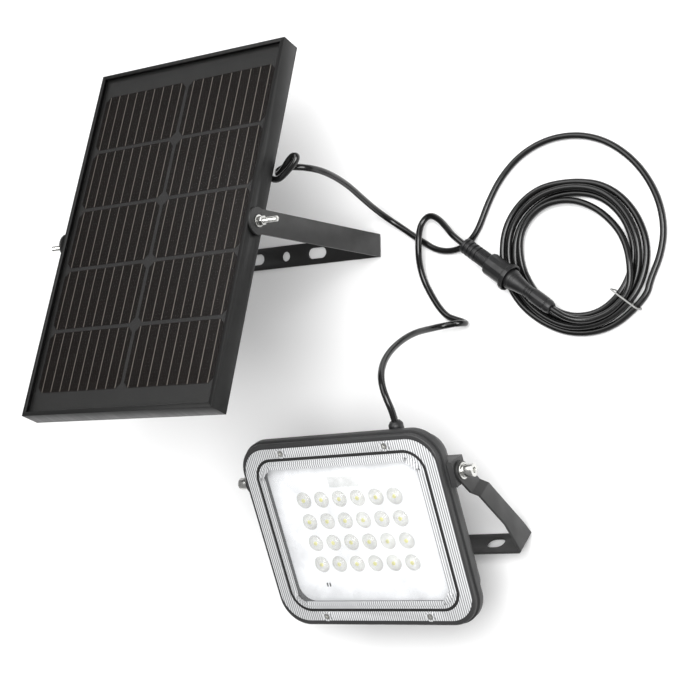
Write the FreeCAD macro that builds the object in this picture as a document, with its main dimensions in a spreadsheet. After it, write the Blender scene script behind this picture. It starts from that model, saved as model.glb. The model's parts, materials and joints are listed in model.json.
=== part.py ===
import FreeCAD, Part
import math
import os
import re

import Sketcher

# Solar flood light: a framed solar panel on a U bracket, and an LED lamp on a
# U bracket, joined by a cord with a screwed two-pin connector.  Millimetres.
# The origin is the middle of the panel bracket's foot.  +Z is up.  The panel
# hinges about X above the origin and the lamp stands at the panel's -Y side.

Vector = FreeCAD.Vector
Rotation = FreeCAD.Rotation
Placement = FreeCAD.Placement

SIZES = {
    # solar panel: outer frame, laminate and back box
    "panel_wide": 222, "panel_long": 350, "panel_deep": 20, "panel_low": -172.2,
    "rail_wall": 1.8, "rail_lip": 4, "lip_thick": 1.5, "shelf_wide": 9, "shelf_thick": 1,
    "shelf_z": 3.5, "flange_wide": 12, "glass_thick": 3.2, "glass_z": 5.3, "glass_gap": 0.5,
    "sheet_thick": 0.5, "sheet_z": 4.5, "cell_thick": 0.3, "cell_z": 5, "cell_wide": 101,
    "cell_long": 60, "cell_gap": 4, "cell_row_gap": 1.5, "key_leg": 26, "key_wide": 7,
    "key_thick": 2, "box_x": 5, "box_wide": 60, "box_y": 33, "box_long": 48, "box_z": -24,
    "box_deep": 28.5, "box_wall": 2.2, "lid_thick": 2,
    # cable glands
    "gland_y": 57, "gland_z": -14.5, "gland_hex": 7, "gland_hex_long": 6, "gland_cap": 6.5,
    "gland_cap_long": 9, "gland_tip": 4.4, "gland_tip_long": 8,
    # panel bracket and its pivot
    "pivot_high": 191.5, "arm_out": 114, "arm_thick": 2, "arm_wide": 22, "bend": 3, "eye_rad": 12.2,
    "foot_hole": 5, "foot_slot_x": 38.6, "foot_slot_wide": 11, "foot_slot_long": 22,
    "stud_rad": 2.45, "stud_hole": 2.8, "stud_in": 99, "stud_out": 135, "rivet_rad": 3.3,
    "rivet_long": 10, "rivet_head": 5.2, "rivet_head_thick": 0.9, "washer_rad": 5.5,
    "washer_thick": 1, "nut_rad": 4.6, "nut_thick": 5.2,
    # lamp casing: sizes about the middle of the plane of the cover screws
    "bezel_wide": 207, "bezel_tall": 177, "bezel_round": 27, "bezel_z": -7, "bezel_thick": 6,
    "flange_out_wide": 210, "flange_out_tall": 180, "flange_round": 28, "flange_z": -13,
    "shell_wide": 198, "shell_tall": 167, "shell_round": 24, "shell_z": -34,
    "back_wide": 186, "back_tall": 156, "back_round": 20, "port_boss": 9.5,
    "bulge_wide": 150, "bulge_tall": 110, "bulge_round": 16, "bulge_z": -50,
    "cavity_wide": 178, "cavity_tall": 147, "cavity_round": 18, "cavity_z": -31,
    "pouch_wide": 144, "pouch_tall": 104, "pouch_round": 13, "pouch_z": -47.5,
    "cover_wide": 201.5, "cover_tall": 168, "cover_round": 25.5, "cover_thick": 3,
    "recess_wide": 202.3, "recess_tall": 168.8, "recess_round": 26,
    "window_wide": 170, "window_tall": 138, "window_round": 17, "window_step": 1,
    "seal_wide": 180, "seal_tall": 150, "seal_round": 20, "seal_thick": 3,
    "seal_in_wide": 174, "seal_in_tall": 144, "seal_in_round": 17,
    "boss_rad": 4.6, "boss_high": 1.2, "screw_x": 55, "screw_y": 79.6, "screw_rad": 1.5,
    "screw_long": 9, "screw_head": 2.9, "screw_head_long": 1.8,
    # light source, electronics and battery
    "led_pitch_x": 19.4, "led_pitch_y": 20.9, "led_x": -3, "led_y": -0.9,
    "plate_wide": 169, "plate_tall": 137, "plate_round": 16, "plate_z": -11, "plate_thick": 1.5,
    "dome_base": 7.9, "dome_sphere": 9.8, "lens_hole": 4, "chip": 3.5, "chip_thick": 0.8,
    "led_board_wide": 136, "led_board_tall": 96, "led_board_z": -14.6, "board_thick": 1.6,
    "control_x": 10, "control_y": 50, "control_wide": 56, "control_tall": 14, "control_z": -24,
    "cell_rad": 9, "cell_length": 65, "battery_z": -37.9, "holder_thick": 1.6,
    "sensor_wide": 1.1, "sensor_tall": 3.6, "sensor_gap": 3, "sensor_x": -52, "sensor_y": -54,
    "lamp_gland_x": 58.5, "lamp_gland_z": -20.5, "lamp_gland_hex": 3, "lamp_gland_cap": 5,
    "lamp_gland_tip": 3,
    # lamp bracket and its pivot: the pivot lies at hinge_y, hinge_z in the lamp
    "hinge_y": 46.2, "hinge_z": -19.2, "lug_wide": 20, "lug_tall": 22, "lug_out": 109.8,
    "tab_out": 112.6, "yoke_out": 118, "yoke_thick": 2.5, "yoke_half": 9, "yoke_drop": 110.8,
    "fold_high": -22.8, "fold_low": -28.6, "web_near": 26.1, "web_far": 53.3,
    "knee_near": 76.4, "knee_far": 103.4, "yoke_lean": 22,
    "yoke_slot_x": 86.5, "yoke_slot_wide": 13, "yoke_slot_long": 17.5, "yoke_hole": 5.2,
    "bolt_rad": 2.9, "bolt_hole": 3.3, "insert_rad": 4.2, "bolt_in": 99.5, "cap_rad": 5.6,
    "cap_long": 8, "socket_rad": 2.9, "socket_deep": 4, "flat_rad": 7.2, "flat_thick": 1.4,
    "spring_rad": 5.9, "spring_thick": 2,
    # cord, coil and tie
    "cord_rad": 3, "coil_x": 317.5, "coil_y": -32, "coil_in": 45, "coil_out": 76, "coil_z": 1,
    "coil_high": 11.5, "tie_wire": 0.8, "tie_wide": 2, "tie_turn": -38.3,
    # screwed connector, sizes along its axis from the end of the plug's boot
    "boot_long": 31, "boot_end": 6.3, "boot_rad": 7.2, "rib_rad": 7.7, "rib_long": 2.4,
    "plug_rad": 7.6, "plug_long": 24, "nut_start": 32, "nut_body": 10.6, "nut_body_long": 22,
    "nut_flange": 13, "nut_flange_long": 4, "nut_bore": 8.1, "nut_mouth": 10.9,
    "nut_mouth_deep": 3, "taper_start": 53, "taper_rad": 9.8, "taper_long": 24,
    "neck_rad": 5.9, "neck_long": 9, "tail_rad": 6.7, "tail_long": 22, "groove_deep": 0.7,
    "pin_rad": 0.8, "pin_long": 10, "pin_gap": 2.4, "ring_rad": 8.3, "ring_line": 0.9,
}

PANEL_TILT = -17.8
LAMP_TILT = 21.8
LAMP_YAW = 2.2
YOKE_TILT = -53.8
LAMP_CENTRE = Vector(151.1, -271, 108.9)
PLUG_START = Vector(217.3, -11.6, 19.5)
PLUG_HEADING = Vector(86.3, -65, 0)

# Route points of the free cord, chosen by hand.  A drop ends on the floor in
# the middle of a run, where the next length carries on.
PANEL_DROP = [
    (88, 49.84, 160.27), (101, 49.84, 160.27), (112, 45.5, 160), (122, 43.5, 159.5),
    (130, 48.5, 158.5), (129.5, 57, 157), (120.5, 61, 155), (112, 57, 151.5), (112.5, 50, 147.5),
    (120, 51, 143.5), (129, 55.5, 138), (133.5, 56.5, 124), (133, 52.5, 102), (129.5, 46.5, 76),
    (125.5, 39, 50), (123.5, 31.5, 26), (128.5, 23, 9), (140.5, 13.6, 3.2), (153.5, 4.2, 3),
    (164.5, -2.8, 3),
]
PANEL_RUN = [
    (164.5, -2.8, 3), (176, -10.1, 3), (190, -13.6, 3), (204.5, -12, 3), (215.5, -5, 3),
    (224, 6, 3), (233.5, 27, 3), (247, 48.5, 3), (268, 67.5, 3), (296, 78.3, 3), (327, 78.3, 3),
    (356, 67.5, 3), (382, 45, 3), (399, 16, 3), (404.5, -13, 3), (400, -37, 3), (390, -57, 3),
]
PANEL_TAIL = [
    (303.82, -76.76, 19.5), (312, -82.92, 19.5), (321.5, -87.3, 17), (332, -88.7, 13), (341.5, -87.5, 10),
]
LAMP_DROP = [
    (205.896, -173.466, 124.962), (205.593, -165.584, 128.117), (203, -155.5, 132.3), (198.3, -145, 131.5),
    (191.8, -133.5, 124), (185.6, -121.5, 110), (181.8, -110, 92), (180.8, -99.3, 71),
    (181.8, -91.5, 50), (184, -87.5, 31), (189.5, -84.8, 20), (198, -83.4, 16.6), (209, -82.6, 16.4),
    (209, -82, 3), (196.5, -77.5, 3),
]
LAMP_RUN = [
    (196.5, -77.5, 3), (187.5, -74.26, 3), (178.5, -65, 3), (169.8, -51.5, 3), (163.5, -38, 4.5),
    (162, -25, 8.5), (163.7, -11.5, 13.5), (164.5, 2.5, 13.5), (165, 15, 9.5), (173.5, 22.5, 8.2),
    (184.5, 17.2, 9.5), (195.5, 7.2, 14), (206.12, -3.18, 19.5), (217.3, -11.6, 19.5),
]

doc = FreeCAD.newDocument("SolarFloodLight")
sheet = doc.addObject("Spreadsheet::Sheet", "Sizes")
parts = []


def fill_sheet():
    """One row per size: its name in column A and its number, with the alias, in column B."""
    for row, (alias, number) in enumerate(SIZES.items(), start=1):
        sheet.set(f"A{row}", alias)
        sheet.set(f"B{row}", str(number))
        sheet.setAlias(f"B{row}", alias)
    doc.recompute()


def size(alias):
    return float(sheet.get(alias))


def formula(text):
    """Each alias in text becomes a reference to its cell."""
    return re.sub(r"[a-z_]+", lambda word: "Sizes." + word.group(), text)


def bind(item, sizes):
    for path, text in sizes.items():
        item.setExpression(path, formula(text))


def move_to(item, spot):
    names = ("Placement.Base.x", "Placement.Base.y", "Placement.Base.z")
    bind(item, {name: text for name, text in zip(names, spot) if text != "0"})


def block(name, lengths, corner):
    """A box: three lengths and its lowest corner, all as sheet formulas."""
    item = doc.addObject("Part::Box", name)
    bind(item, dict(zip(("Length", "Width", "Height"), lengths)))
    move_to(item, corner)
    return item


TURNS = {
    "x": Rotation(Vector(0, 1, 0), 90),
    "y": Rotation(Vector(1, 0, 0), -90),
    "z": Rotation(),
}


def rod(name, radius, length, start, axis="z"):
    """A cylinder that runs from start along an axis."""
    item = doc.addObject("Part::Cylinder", name)
    item.Placement = Placement(Vector(), TURNS[axis])
    bind(item, {"Radius": radius, "Height": length})
    move_to(item, start)
    return item


def cone(name, radius, end_radius, length, start, axis="z"):
    item = doc.addObject("Part::Cone", name)
    item.Placement = Placement(Vector(), TURNS[axis])
    bind(item, {"Radius1": radius, "Radius2": end_radius, "Height": length})
    move_to(item, start)
    return item


def hexagon(name, radius, length, start, axis="z"):
    item = doc.addObject("Part::Prism", name)
    item.Polygon = 6
    item.Placement = Placement(Vector(), TURNS[axis])
    bind(item, {"Circumradius": radius, "Height": length})
    move_to(item, start)
    return item


def fuse(name, *items):
    joined = doc.addObject("Part::MultiFuse", name)
    joined.Shapes = list(items)
    return joined


def cut(name, base, *tools):
    item = doc.addObject("Part::Cut", name)
    item.Base = base
    item.Tool = tools[0] if len(tools) == 1 else fuse(name + "Tools", *tools)
    return item


def common(name, base, tool):
    item = doc.addObject("Part::Common", name)
    item.Base = base
    item.Tool = tool
    return item


def mirrored(item):
    """The same piece on the other side, at -X."""
    copy = doc.addObject("Part::Mirroring", item.Name + "Left")
    copy.Source = item
    copy.Normal = Vector(1, 0, 0)
    return copy


def copies(name, item, spots):
    """Separate solids: item's shape set down at each spot."""
    doc.recompute()
    group = doc.addObject("Part::Feature", name)
    group.Shape = Part.makeCompound([item.Shape.translated(Vector(*spot)) for spot in spots])
    return group


def prism(name, points, along):
    """A solid with a flat outline, whose corners are worked out from the sheet."""
    item = doc.addObject("Part::Feature", name)
    outline = Part.makePolygon([Vector(*point) for point in points + points[:1]])
    item.Shape = Part.Face(outline).extrude(Vector(*along))
    return item


def places_itself(item):
    """Whether a placement of its own sets where the item lies in its frame."""
    driven = any("Placement" in path for path, _ in item.ExpressionEngine)
    return driven or not item.Placement.isIdentity()


def publish(label, frame, *items):
    """Makes a sub-part of the items: one node, named label, at its frame's placement."""
    if len(items) == 1 and not places_itself(items[0]):
        node = items[0]
    else:
        node = doc.addObject("Part::Compound", "Node" + str(len(parts)))
        node.Links = list(items)
    doc.recompute()
    node.Label = label
    node.Placement = frame
    parts.append(node)
    return node


# ---------------------------------------------------------------- sketched bodies


def plane_of(body, role="XY_Plane"):
    return next(f for f in body.Origin.OriginFeatures if f.Role == role)


def outline_sketch(body, name, wide, tall, corner, level):
    """A rounded rectangle about the origin, at a level above the XY plane."""
    sketch = body.newObject("Sketcher::SketchObject", name)
    sketch.AttachmentSupport = [(plane_of(body), "")]
    sketch.MapMode = "FlatFace"
    x, y, r = size(wide) / 2, size(tall) / 2, size(corner)
    corners = [(x - r, -y + r, -90), (x - r, y - r, 0), (-x + r, y - r, 90), (-x + r, -y + r, 180)]
    ends = [((-x + r, -y), (x - r, -y)), ((x, -y + r), (x, y - r)),
            ((x - r, y), (-x + r, y)), ((-x, y - r), (-x, -y + r))]
    for (start, end), (cx, cy, angle) in zip(ends, corners):
        sketch.addGeometry(Part.LineSegment(Vector(*start, 0), Vector(*end, 0)))
        circle = Part.Circle(Vector(cx, cy, 0), Vector(0, 0, 1), r)
        first = math.radians(angle)
        sketch.addGeometry(Part.ArcOfCircle(circle, first, first + math.pi / 2))
    for index in range(8):
        sketch.addConstraint(Sketcher.Constraint("Tangent", index, 2, (index + 1) % 8, 1))
    for index in (0, 4):
        sketch.addConstraint(Sketcher.Constraint("Horizontal", index))
        sketch.addConstraint(Sketcher.Constraint("Vertical", index + 2))
    for index in (3, 5, 7):
        sketch.addConstraint(Sketcher.Constraint("Equal", 1, index))
    sketch.addConstraint(Sketcher.Constraint("Symmetric", 0, 1, 4, 1, -1, 1))
    driven = (
        (Sketcher.Constraint("Radius", 1, r), corner),
        (Sketcher.Constraint("DistanceX", 6, 1, 2, 1, 2 * x), wide),
        (Sketcher.Constraint("DistanceY", 0, 1, 4, 1, 2 * y), tall),
    )
    for constraint, alias in driven:
        index = sketch.addConstraint(constraint)
        sketch.setExpression(f"Constraints[{index}]", formula(alias))
    sketch.setExpression("AttachmentOffset.Base.z", formula(level))
    return sketch


def hole_sketch(body, name, radius, spots, level):
    """Circles of one radius at the given spots, at a level above the XY plane."""
    sketch = body.newObject("Sketcher::SketchObject", name)
    sketch.AttachmentSupport = [(plane_of(body), "")]
    sketch.MapMode = "FlatFace"
    for index, (x, y) in enumerate(spots):
        circle = Part.Circle(Vector(x, y, 0), Vector(0, 0, 1), size(radius))
        sketch.addGeometry(circle)
        sketch.addConstraint(Sketcher.Constraint("DistanceX", -1, 1, index, 3, x))
        sketch.addConstraint(Sketcher.Constraint("DistanceY", -1, 1, index, 3, y))
        row = sketch.addConstraint(Sketcher.Constraint("Radius", index, size(radius)))
        sketch.setExpression(f"Constraints[{row}]", formula(radius))
    sketch.setExpression("AttachmentOffset.Base.z", formula(level))
    return sketch


def pad(body, sketch, length):
    """Adds material above the sketch."""
    feature = body.newObject("PartDesign::Pad", sketch.Name + "Pad")
    feature.Profile = sketch
    bind(feature, {"Length": length})
    return feature


def pocket(body, sketch, depth):
    """Cuts below the sketch, and checks that something was cut."""
    doc.recompute()
    before = body.Shape.Volume
    feature = body.newObject("PartDesign::Pocket", sketch.Name + "Pocket")
    feature.Profile = sketch
    bind(feature, {"Length": depth})
    doc.recompute()
    if body.Shape.Volume > before - 1:
        raise RuntimeError(sketch.Name + " cuts nothing")
    return feature


def new_body(name):
    return doc.addObject("PartDesign::Body", name)


def rounded_plate(name, wide, tall, corner, level, thick):
    """A body with one rounded plate in it."""
    body = new_body(name)
    pad(body, outline_sketch(body, name + "Outline", wide, tall, corner, level), thick)
    return body


def edges_at_level(shape, level):
    """Names of the edges that lie wholly at one height."""
    names = []
    for index, edge in enumerate(shape.Edges, start=1):
        box = edge.BoundBox
        if abs(box.ZMin - level) < 0.01 and abs(box.ZMax - level) < 0.01:
            names.append(f"Edge{index}")
    return names


def round_edges(body, level, radius):
    doc.recompute()
    base = body.Tip
    feature = body.newObject("PartDesign::Fillet", body.Name + "Round" + str(len(body.Group)))
    feature.Base = (base, edges_at_level(base.Shape, level))
    feature.Radius = radius


# ---------------------------------------------------------------- frames of the groups


def head_frame():
    return Placement(Vector(0, 0, size("pivot_high")), Rotation(Vector(1, 0, 0), PANEL_TILT))


def lamp_frame():
    turn = Rotation(Vector(0, 0, 1), LAMP_YAW).multiply(Rotation(Vector(1, 0, 0), LAMP_TILT))
    return Placement(LAMP_CENTRE, turn)


def yoke_frame():
    """The lamp bracket's frame: its origin is the pivot and its web is square to local Z."""
    pivot = lamp_frame().multVec(Vector(0, size("hinge_y"), size("hinge_z")))
    turn = Rotation(Vector(0, 0, 1), LAMP_YAW).multiply(Rotation(Vector(1, 0, 0), YOKE_TILT))
    return Placement(pivot, turn)


def plug_frame():
    """The connector's frame: its axis is local Z and local Y points up."""
    along = PLUG_HEADING / PLUG_HEADING.Length
    turn = Rotation(along.cross(Vector(0, 0, 1)) * -1, Vector(0, 0, 1), along, "ZYX")
    return Placement(PLUG_START, turn)


# ---------------------------------------------------------------- solar panel


def make_rail(name, length, drilled):
    """One side of the frame along local Y: its outer face is at x = 0 and its ends are mitred."""
    half = "panel_deep / 2"
    back = "-panel_deep / 2"
    wall = block(name + "Wall", ("rail_wall", length, "panel_deep"), ("0", "0", back))
    lip = block(name + "Lip", ("rail_lip", length, "lip_thick"), ("0", "0", half + " - lip_thick"))
    shelf = block(name + "Shelf", ("shelf_wide", length, "shelf_thick"), ("0", "0", "shelf_z"))
    flange = block(name + "Flange", ("flange_wide", length, "lip_thick"), ("0", "0", back))
    reach = "panel_deep * 2"
    near = block(name + "Near", (reach, reach, reach), ("0", "0", "-panel_deep"))
    near.setExpression("Placement.Base.y", formula("-panel_deep * 2 * 0.70710678"))
    near.setExpression("Placement.Base.x", formula("panel_deep * 2 * 0.70710678"))
    near.Placement.Rotation = Rotation(Vector(0, 0, 1), 45)
    far = block(name + "Far", (reach, reach, reach), ("0", length, "-panel_deep"))
    far.Placement.Rotation = Rotation(Vector(0, 0, 1), -45)
    tools = [near, far]
    if drilled:
        tools.append(rod(name + "Drill", "rivet_rad", "panel_deep", ("-1", "-panel_low", "0"), "x"))
    return cut(name, fuse(name + "Section", wall, lip, shelf, flange), *tools)


def turned(item, spot, angle):
    """The item as a compound of its own, turned about Z and moved to spot."""
    holder = doc.addObject("Part::Compound", item.Name + "Set")
    holder.Links = [item]
    holder.Placement = Placement(Vector(*spot), Rotation(Vector(0, 0, 1), angle))
    return holder


def make_panel_frame():
    half = size("panel_wide") / 2
    low = size("panel_low")
    high = low + size("panel_long")
    side = turned(make_rail("RailSide", "panel_long", True), (-half, low, 0), 0)
    publish("frame_rail_right", head_frame(), mirrored(side))
    publish("frame_rail_left", head_frame(), side)
    ends = (("frame_rail_low", (half, low, 0), 90), ("frame_rail_high", (-half, high, 0), -90))
    for label, spot, angle in ends:
        rail = make_rail("Rail" + label[11:].title(), "panel_wide", False)
        publish(label, head_frame(), turned(rail, spot, angle))


def make_corner_keys():
    """Four L keys that lie on the back flange and join the rails at the mitres."""
    level = "-panel_deep / 2 + lip_thick"
    leg = block("KeyLeg", ("key_leg", "key_wide", "key_thick"), ("rail_wall", "rail_wall", level))
    arm = block("KeyArm", ("key_wide", "key_leg", "key_thick"), ("rail_wall", "rail_wall", level))
    key = fuse("CornerKey", leg, arm)
    half = size("panel_wide") / 2
    low = size("panel_low")
    high = low + size("panel_long")
    spots = (((-half, low, 0), 0), ((half, low, 0), 90), ((half, high, 0), 180), ((-half, high, 0), -90))
    keys = [turned(key, spot, angle) for spot, angle in spots]
    publish("frame_corner_keys", head_frame(), *keys)


def make_laminate():
    """Glass, cells and backing sheet, held between the lip and the shelf."""
    wide = "panel_wide - 2 * rail_wall - 2 * glass_gap"
    long = "panel_long - 2 * rail_wall - 2 * glass_gap"
    left = "-panel_wide / 2 + rail_wall + glass_gap"
    low = "panel_low + rail_wall + glass_gap"
    glass = block("Glass", (wide, long, "glass_thick"), (left, low, "glass_z"))
    publish("panel_glass", head_frame(), glass)
    backing = block("Backing", (wide, long, "sheet_thick"), (left, low, "sheet_z"))
    publish("panel_backsheet", head_frame(), backing)
    cell = block("SolarCell", ("cell_wide", "cell_long", "cell_thick"), ("0", "0", "cell_z"))
    pitch = size("cell_long") + size("cell_row_gap")
    middle = size("panel_low") + size("panel_long") / 2
    first = middle - (5 * pitch - size("cell_row_gap")) / 2
    across = (size("cell_gap") / 2, -size("cell_gap") / 2 - size("cell_wide"))
    spots = [(x, first + row * pitch, 0) for row in range(5) for x in across]
    publish("solar_cells", head_frame(), copies("SolarCells", cell, spots))


def make_junction_box():
    corner = ("box_x", "box_y", "box_z")
    shell = block("BoxShell", ("box_wide", "box_long", "box_deep"), corner)
    inner = ("box_wide - 2 * box_wall", "box_long - 2 * box_wall", "box_deep - box_wall")
    hollow = block("BoxHollow", inner, ("box_x + box_wall", "box_y + box_wall", "box_z"))
    port_start = ("box_x + box_wide - 2 * box_wall", "gland_y", "gland_z")
    port = rod("BoxPort", "cord_rad + 1.5", "4 * box_wall", port_start, "x")
    publish("junction_box", head_frame(), cut("JunctionBox", shell, hollow, port))
    lid_corner = ("box_x", "box_y", "box_z - lid_thick")
    plate = block("LidPlate", ("box_wide", "box_long", "lid_thick"), lid_corner)
    inner = ("box_wide - 2 * box_wall - 0.4", "box_long - 2 * box_wall - 0.4", "lid_thick / 2")
    plug = block("LidPlug", inner, ("box_x + box_wall + 0.2", "box_y + box_wall + 0.2", "box_z"))
    publish("junction_box_lid", head_frame(), fuse("BoxLid", plate, plug))
    start = size("box_x") + size("box_wide")
    spot = Vector(start, size("gland_y"), size("gland_z"))
    aim = Placement(spot, TURNS["x"])
    make_gland("junction_gland", "JunctionGland", head_frame().multiply(aim))


def make_gland(prefix, name, frame):
    """A cable gland along local Z: a hexagon base, and a cap nut with a tapered mouth."""
    base = hexagon(name + "Hex", "gland_hex", "gland_hex_long", ("0", "0", "0"))
    core = rod(name + "Core", "cord_rad + 2", "gland_cap_long", ("0", "0", "gland_hex_long"))
    publish(prefix + "_base", frame, fuse(name + "Base", base, core))
    cap = rod(name + "Cap", "gland_cap", "gland_cap_long", ("0", "0", "gland_hex_long"))
    tip_start = ("0", "0", "gland_hex_long + gland_cap_long")
    tip = cone(name + "Tip", "gland_cap", "gland_tip", "gland_tip_long", tip_start)
    bore = rod(name + "Bore", "cord_rad + 2", "gland_cap_long", ("0", "0", "gland_hex_long"))
    publish(prefix + "_nut", frame, cut(name + "Nut", fuse(name + "CapBody", cap, tip), bore))


def make_panel_pivot():
    """Rivet nuts in the frame, studs, washers each side of the arm, and nuts."""
    wall = "panel_wide / 2 - rail_wall"
    centre = ("0", "0")
    barrel = rod("RivetBarrel", "rivet_rad", "rivet_long + rail_wall",
                 (wall + " - rivet_long",) + centre, "x")
    head = rod("RivetHead", "rivet_head", "rivet_head_thick", ("panel_wide / 2",) + centre, "x")
    thread = rod("RivetThread", "stud_rad", "rivet_long * 3", (wall + " - rivet_long",) + centre, "x")
    rivet = cut("Rivet", fuse("RivetBody", barrel, head), thread)
    publish("pivot_rivet_nuts", head_frame(), rivet, mirrored(rivet))
    stud = rod("Stud", "stud_rad", "stud_out - stud_in", ("stud_in",) + centre, "x")
    publish("panel_pivot_studs", head_frame(), stud, mirrored(stud))
    disc = rod("Washer", "washer_rad", "washer_thick", ("arm_out + 0.1",) + centre, "x")
    eye = rod("WasherEye", "stud_rad", "washer_thick * 2", ("arm_out",) + centre, "x")
    washer = cut("PivotWasher", disc, eye)
    publish("panel_pivot_washers", head_frame(), washer, mirrored(washer))
    start = ("arm_out + 0.1 + washer_thick",) + centre
    hexa = hexagon("NutHex", "nut_rad", "nut_thick", start, "x")
    bore = rod("NutBore", "stud_rad", "nut_thick * 2", start, "x")
    nut = cut("PivotNut", hexa, bore)
    publish("panel_pivot_nuts", head_frame(), nut, mirrored(nut))


def make_panel_bracket():
    """A bent strip: a web that is the foot, and two arms with round ends at the pivot."""
    half_wide = "-arm_wide / 2"
    outer = block("ArmsOuter", ("2 * arm_out", "arm_wide", "pivot_high + arm_wide / 2"),
                  ("-arm_out", half_wide, "0"))
    inner = block("ArmsInner", ("2 * arm_out - 2 * arm_thick", "arm_wide", "pivot_high + arm_wide"),
                  ("-arm_out + arm_thick", half_wide, "arm_thick"))
    strip = cut("ArmsStrip", outer, inner)
    doc.recompute()
    bent = doc.addObject("Part::Fillet", "ArmsBent")
    bent.Base = strip
    bent.Edges = bend_edges(strip.Shape)
    shank = block("ArmsShank", ("2 * arm_out", "arm_wide", "pivot_high"), ("-arm_out", half_wide, "0"))
    end = rod("ArmsEnd", "arm_wide / 2", "2 * arm_out", ("-arm_out", "0", "pivot_high"), "x")
    strip = common("ArmsRound", bent, fuse("ArmsOutline", shank, end))
    eye = rod("ArmEye", "eye_rad", "arm_thick", ("arm_out - arm_thick", "0", "pivot_high"), "x")
    holes = [
        rod("FootHole", "foot_hole", "arm_thick * 4", ("0", "0", "-arm_thick")),
        rod("PivotHoles", "stud_hole", "3 * arm_out", ("-1.5 * arm_out", "0", "pivot_high"), "x"),
    ]
    holes += slot("FootSlotRight", "foot_slot", "foot_slot_x", "0", "-arm_thick")
    holes += slot("FootSlotLeft", "foot_slot", "-foot_slot_x", "0", "-arm_thick")
    publish("panel_bracket", Placement(), cut("PanelBracket", fuse("ArmsEyes", strip, eye, mirrored(eye)), *holes))


def bend_edges(shape):
    """The four edges where the arms meet the web, with their bend radii."""
    edges = []
    for index, edge in enumerate(shape.Edges, start=1):
        box = edge.BoundBox
        if box.YLength > 1 and box.XLength < 0.01 and box.ZLength < 0.01 and box.ZMin < 5:
            radius = size("bend") if box.ZMin < 0.01 else size("bend") - size("arm_thick")
            edges.append((index, radius, radius))
    return edges


def slot(name, prefix, x, y, level):
    """A box with a rod at each end, to be cut out of a web."""
    wide, long = prefix + "_wide", prefix + "_long"
    reach = f"({long} - {wide}) / 2"
    deep = "arm_thick * 4"
    middle = block(name + "Box", (f"{long} - {wide}", wide, deep),
                   (f"{x} - {reach}", f"{y} - {wide} / 2", level))
    ends = [rod(name + end, wide + " / 2", deep, (f"{x} {sign} {reach}", y, level))
            for end, sign in (("A", "-"), ("B", "+"))]
    return [middle] + ends


# ---------------------------------------------------------------- lamp


def screw_spots():
    x, y = size("screw_x"), size("screw_y")
    return [(-x, -y), (x, -y), (x, y), (-x, y)]


def make_lamp_housing():
    """The cast rear shell: rim, body, battery bulge, side lugs and the gland's hole."""
    body = new_body("Housing")
    rim = outline_sketch(body, "Rim", "flange_out_wide", "flange_out_tall", "flange_round", "flange_z")
    pad(body, rim, "bezel_z - flange_z")
    shell = outline_sketch(body, "Shell", "shell_wide", "shell_tall", "shell_round", "flange_z")
    back = outline_sketch(body, "Back", "back_wide", "back_tall", "back_round", "shell_z")
    draft = body.newObject("PartDesign::AdditiveLoft", "ShellDraft")
    draft.Profile = shell
    draft.Sections = [back]
    draft.Ruled = True
    bulge = outline_sketch(body, "Bulge", "bulge_wide", "bulge_tall", "bulge_round", "bulge_z")
    pad(body, bulge, "shell_z - bulge_z")
    round_edges(body, size("bulge_z"), 5)
    inside = outline_sketch(body, "Inside", "cavity_wide", "cavity_tall", "cavity_round", "bezel_z")
    pocket(body, inside, "bezel_z - cavity_z")
    pouch = outline_sketch(body, "Pouch", "pouch_wide", "pouch_tall", "pouch_round", "cavity_z")
    pocket(body, pouch, "cavity_z - pouch_z")
    pocket(body, hole_sketch(body, "RimHoles", "screw_rad", screw_spots(), "bezel_z"), "5")
    lug = block("Lug", ("lug_out - cavity_wide / 2 - 2", "lug_tall", "lug_wide"),
                ("cavity_wide / 2 + 2", "hinge_y - lug_tall / 2", "hinge_z - lug_wide / 2"))
    boss = rod("PortBoss", "port_boss", "(shell_tall - cavity_tall) / 2 - 1",
               ("lamp_gland_x", "cavity_tall / 2 + 1", "lamp_gland_z"), "y")
    drill = rod("LugHole", "insert_rad", "lug_out - bolt_in + 1", ("bolt_in", "hinge_y", "hinge_z"), "x")
    port = rod("GlandPort", "cord_rad + 2", "shell_tall / 2", ("lamp_gland_x", "40", "lamp_gland_z"), "y")
    casing = fuse("Casing", body, boss, lug, mirrored(lug))
    publish("lamp_housing", lamp_frame(), cut("LampHousing", casing, drill, mirrored(drill), port))


def make_lamp_bezel():
    """The front ring that the cover drops into."""
    body = rounded_plate("Bezel", "bezel_wide", "bezel_tall", "bezel_round", "bezel_z", "bezel_thick")
    round_edges(body, size("bezel_z") + size("bezel_thick"), 1.5)
    top = "bezel_z + bezel_thick"
    seat = outline_sketch(body, "Seat", "recess_wide", "recess_tall", "recess_round", top)
    pocket(body, seat, "cover_thick")
    opening = outline_sketch(body, "Opening", "seal_wide", "seal_tall", "seal_round", top)
    pocket(body, opening, "bezel_thick + 1")
    spots = screw_spots()
    pocket(body, hole_sketch(body, "BezelHoles", "screw_rad", spots, top), "bezel_thick + 1")
    publish("lamp_bezel", lamp_frame(), body)


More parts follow.
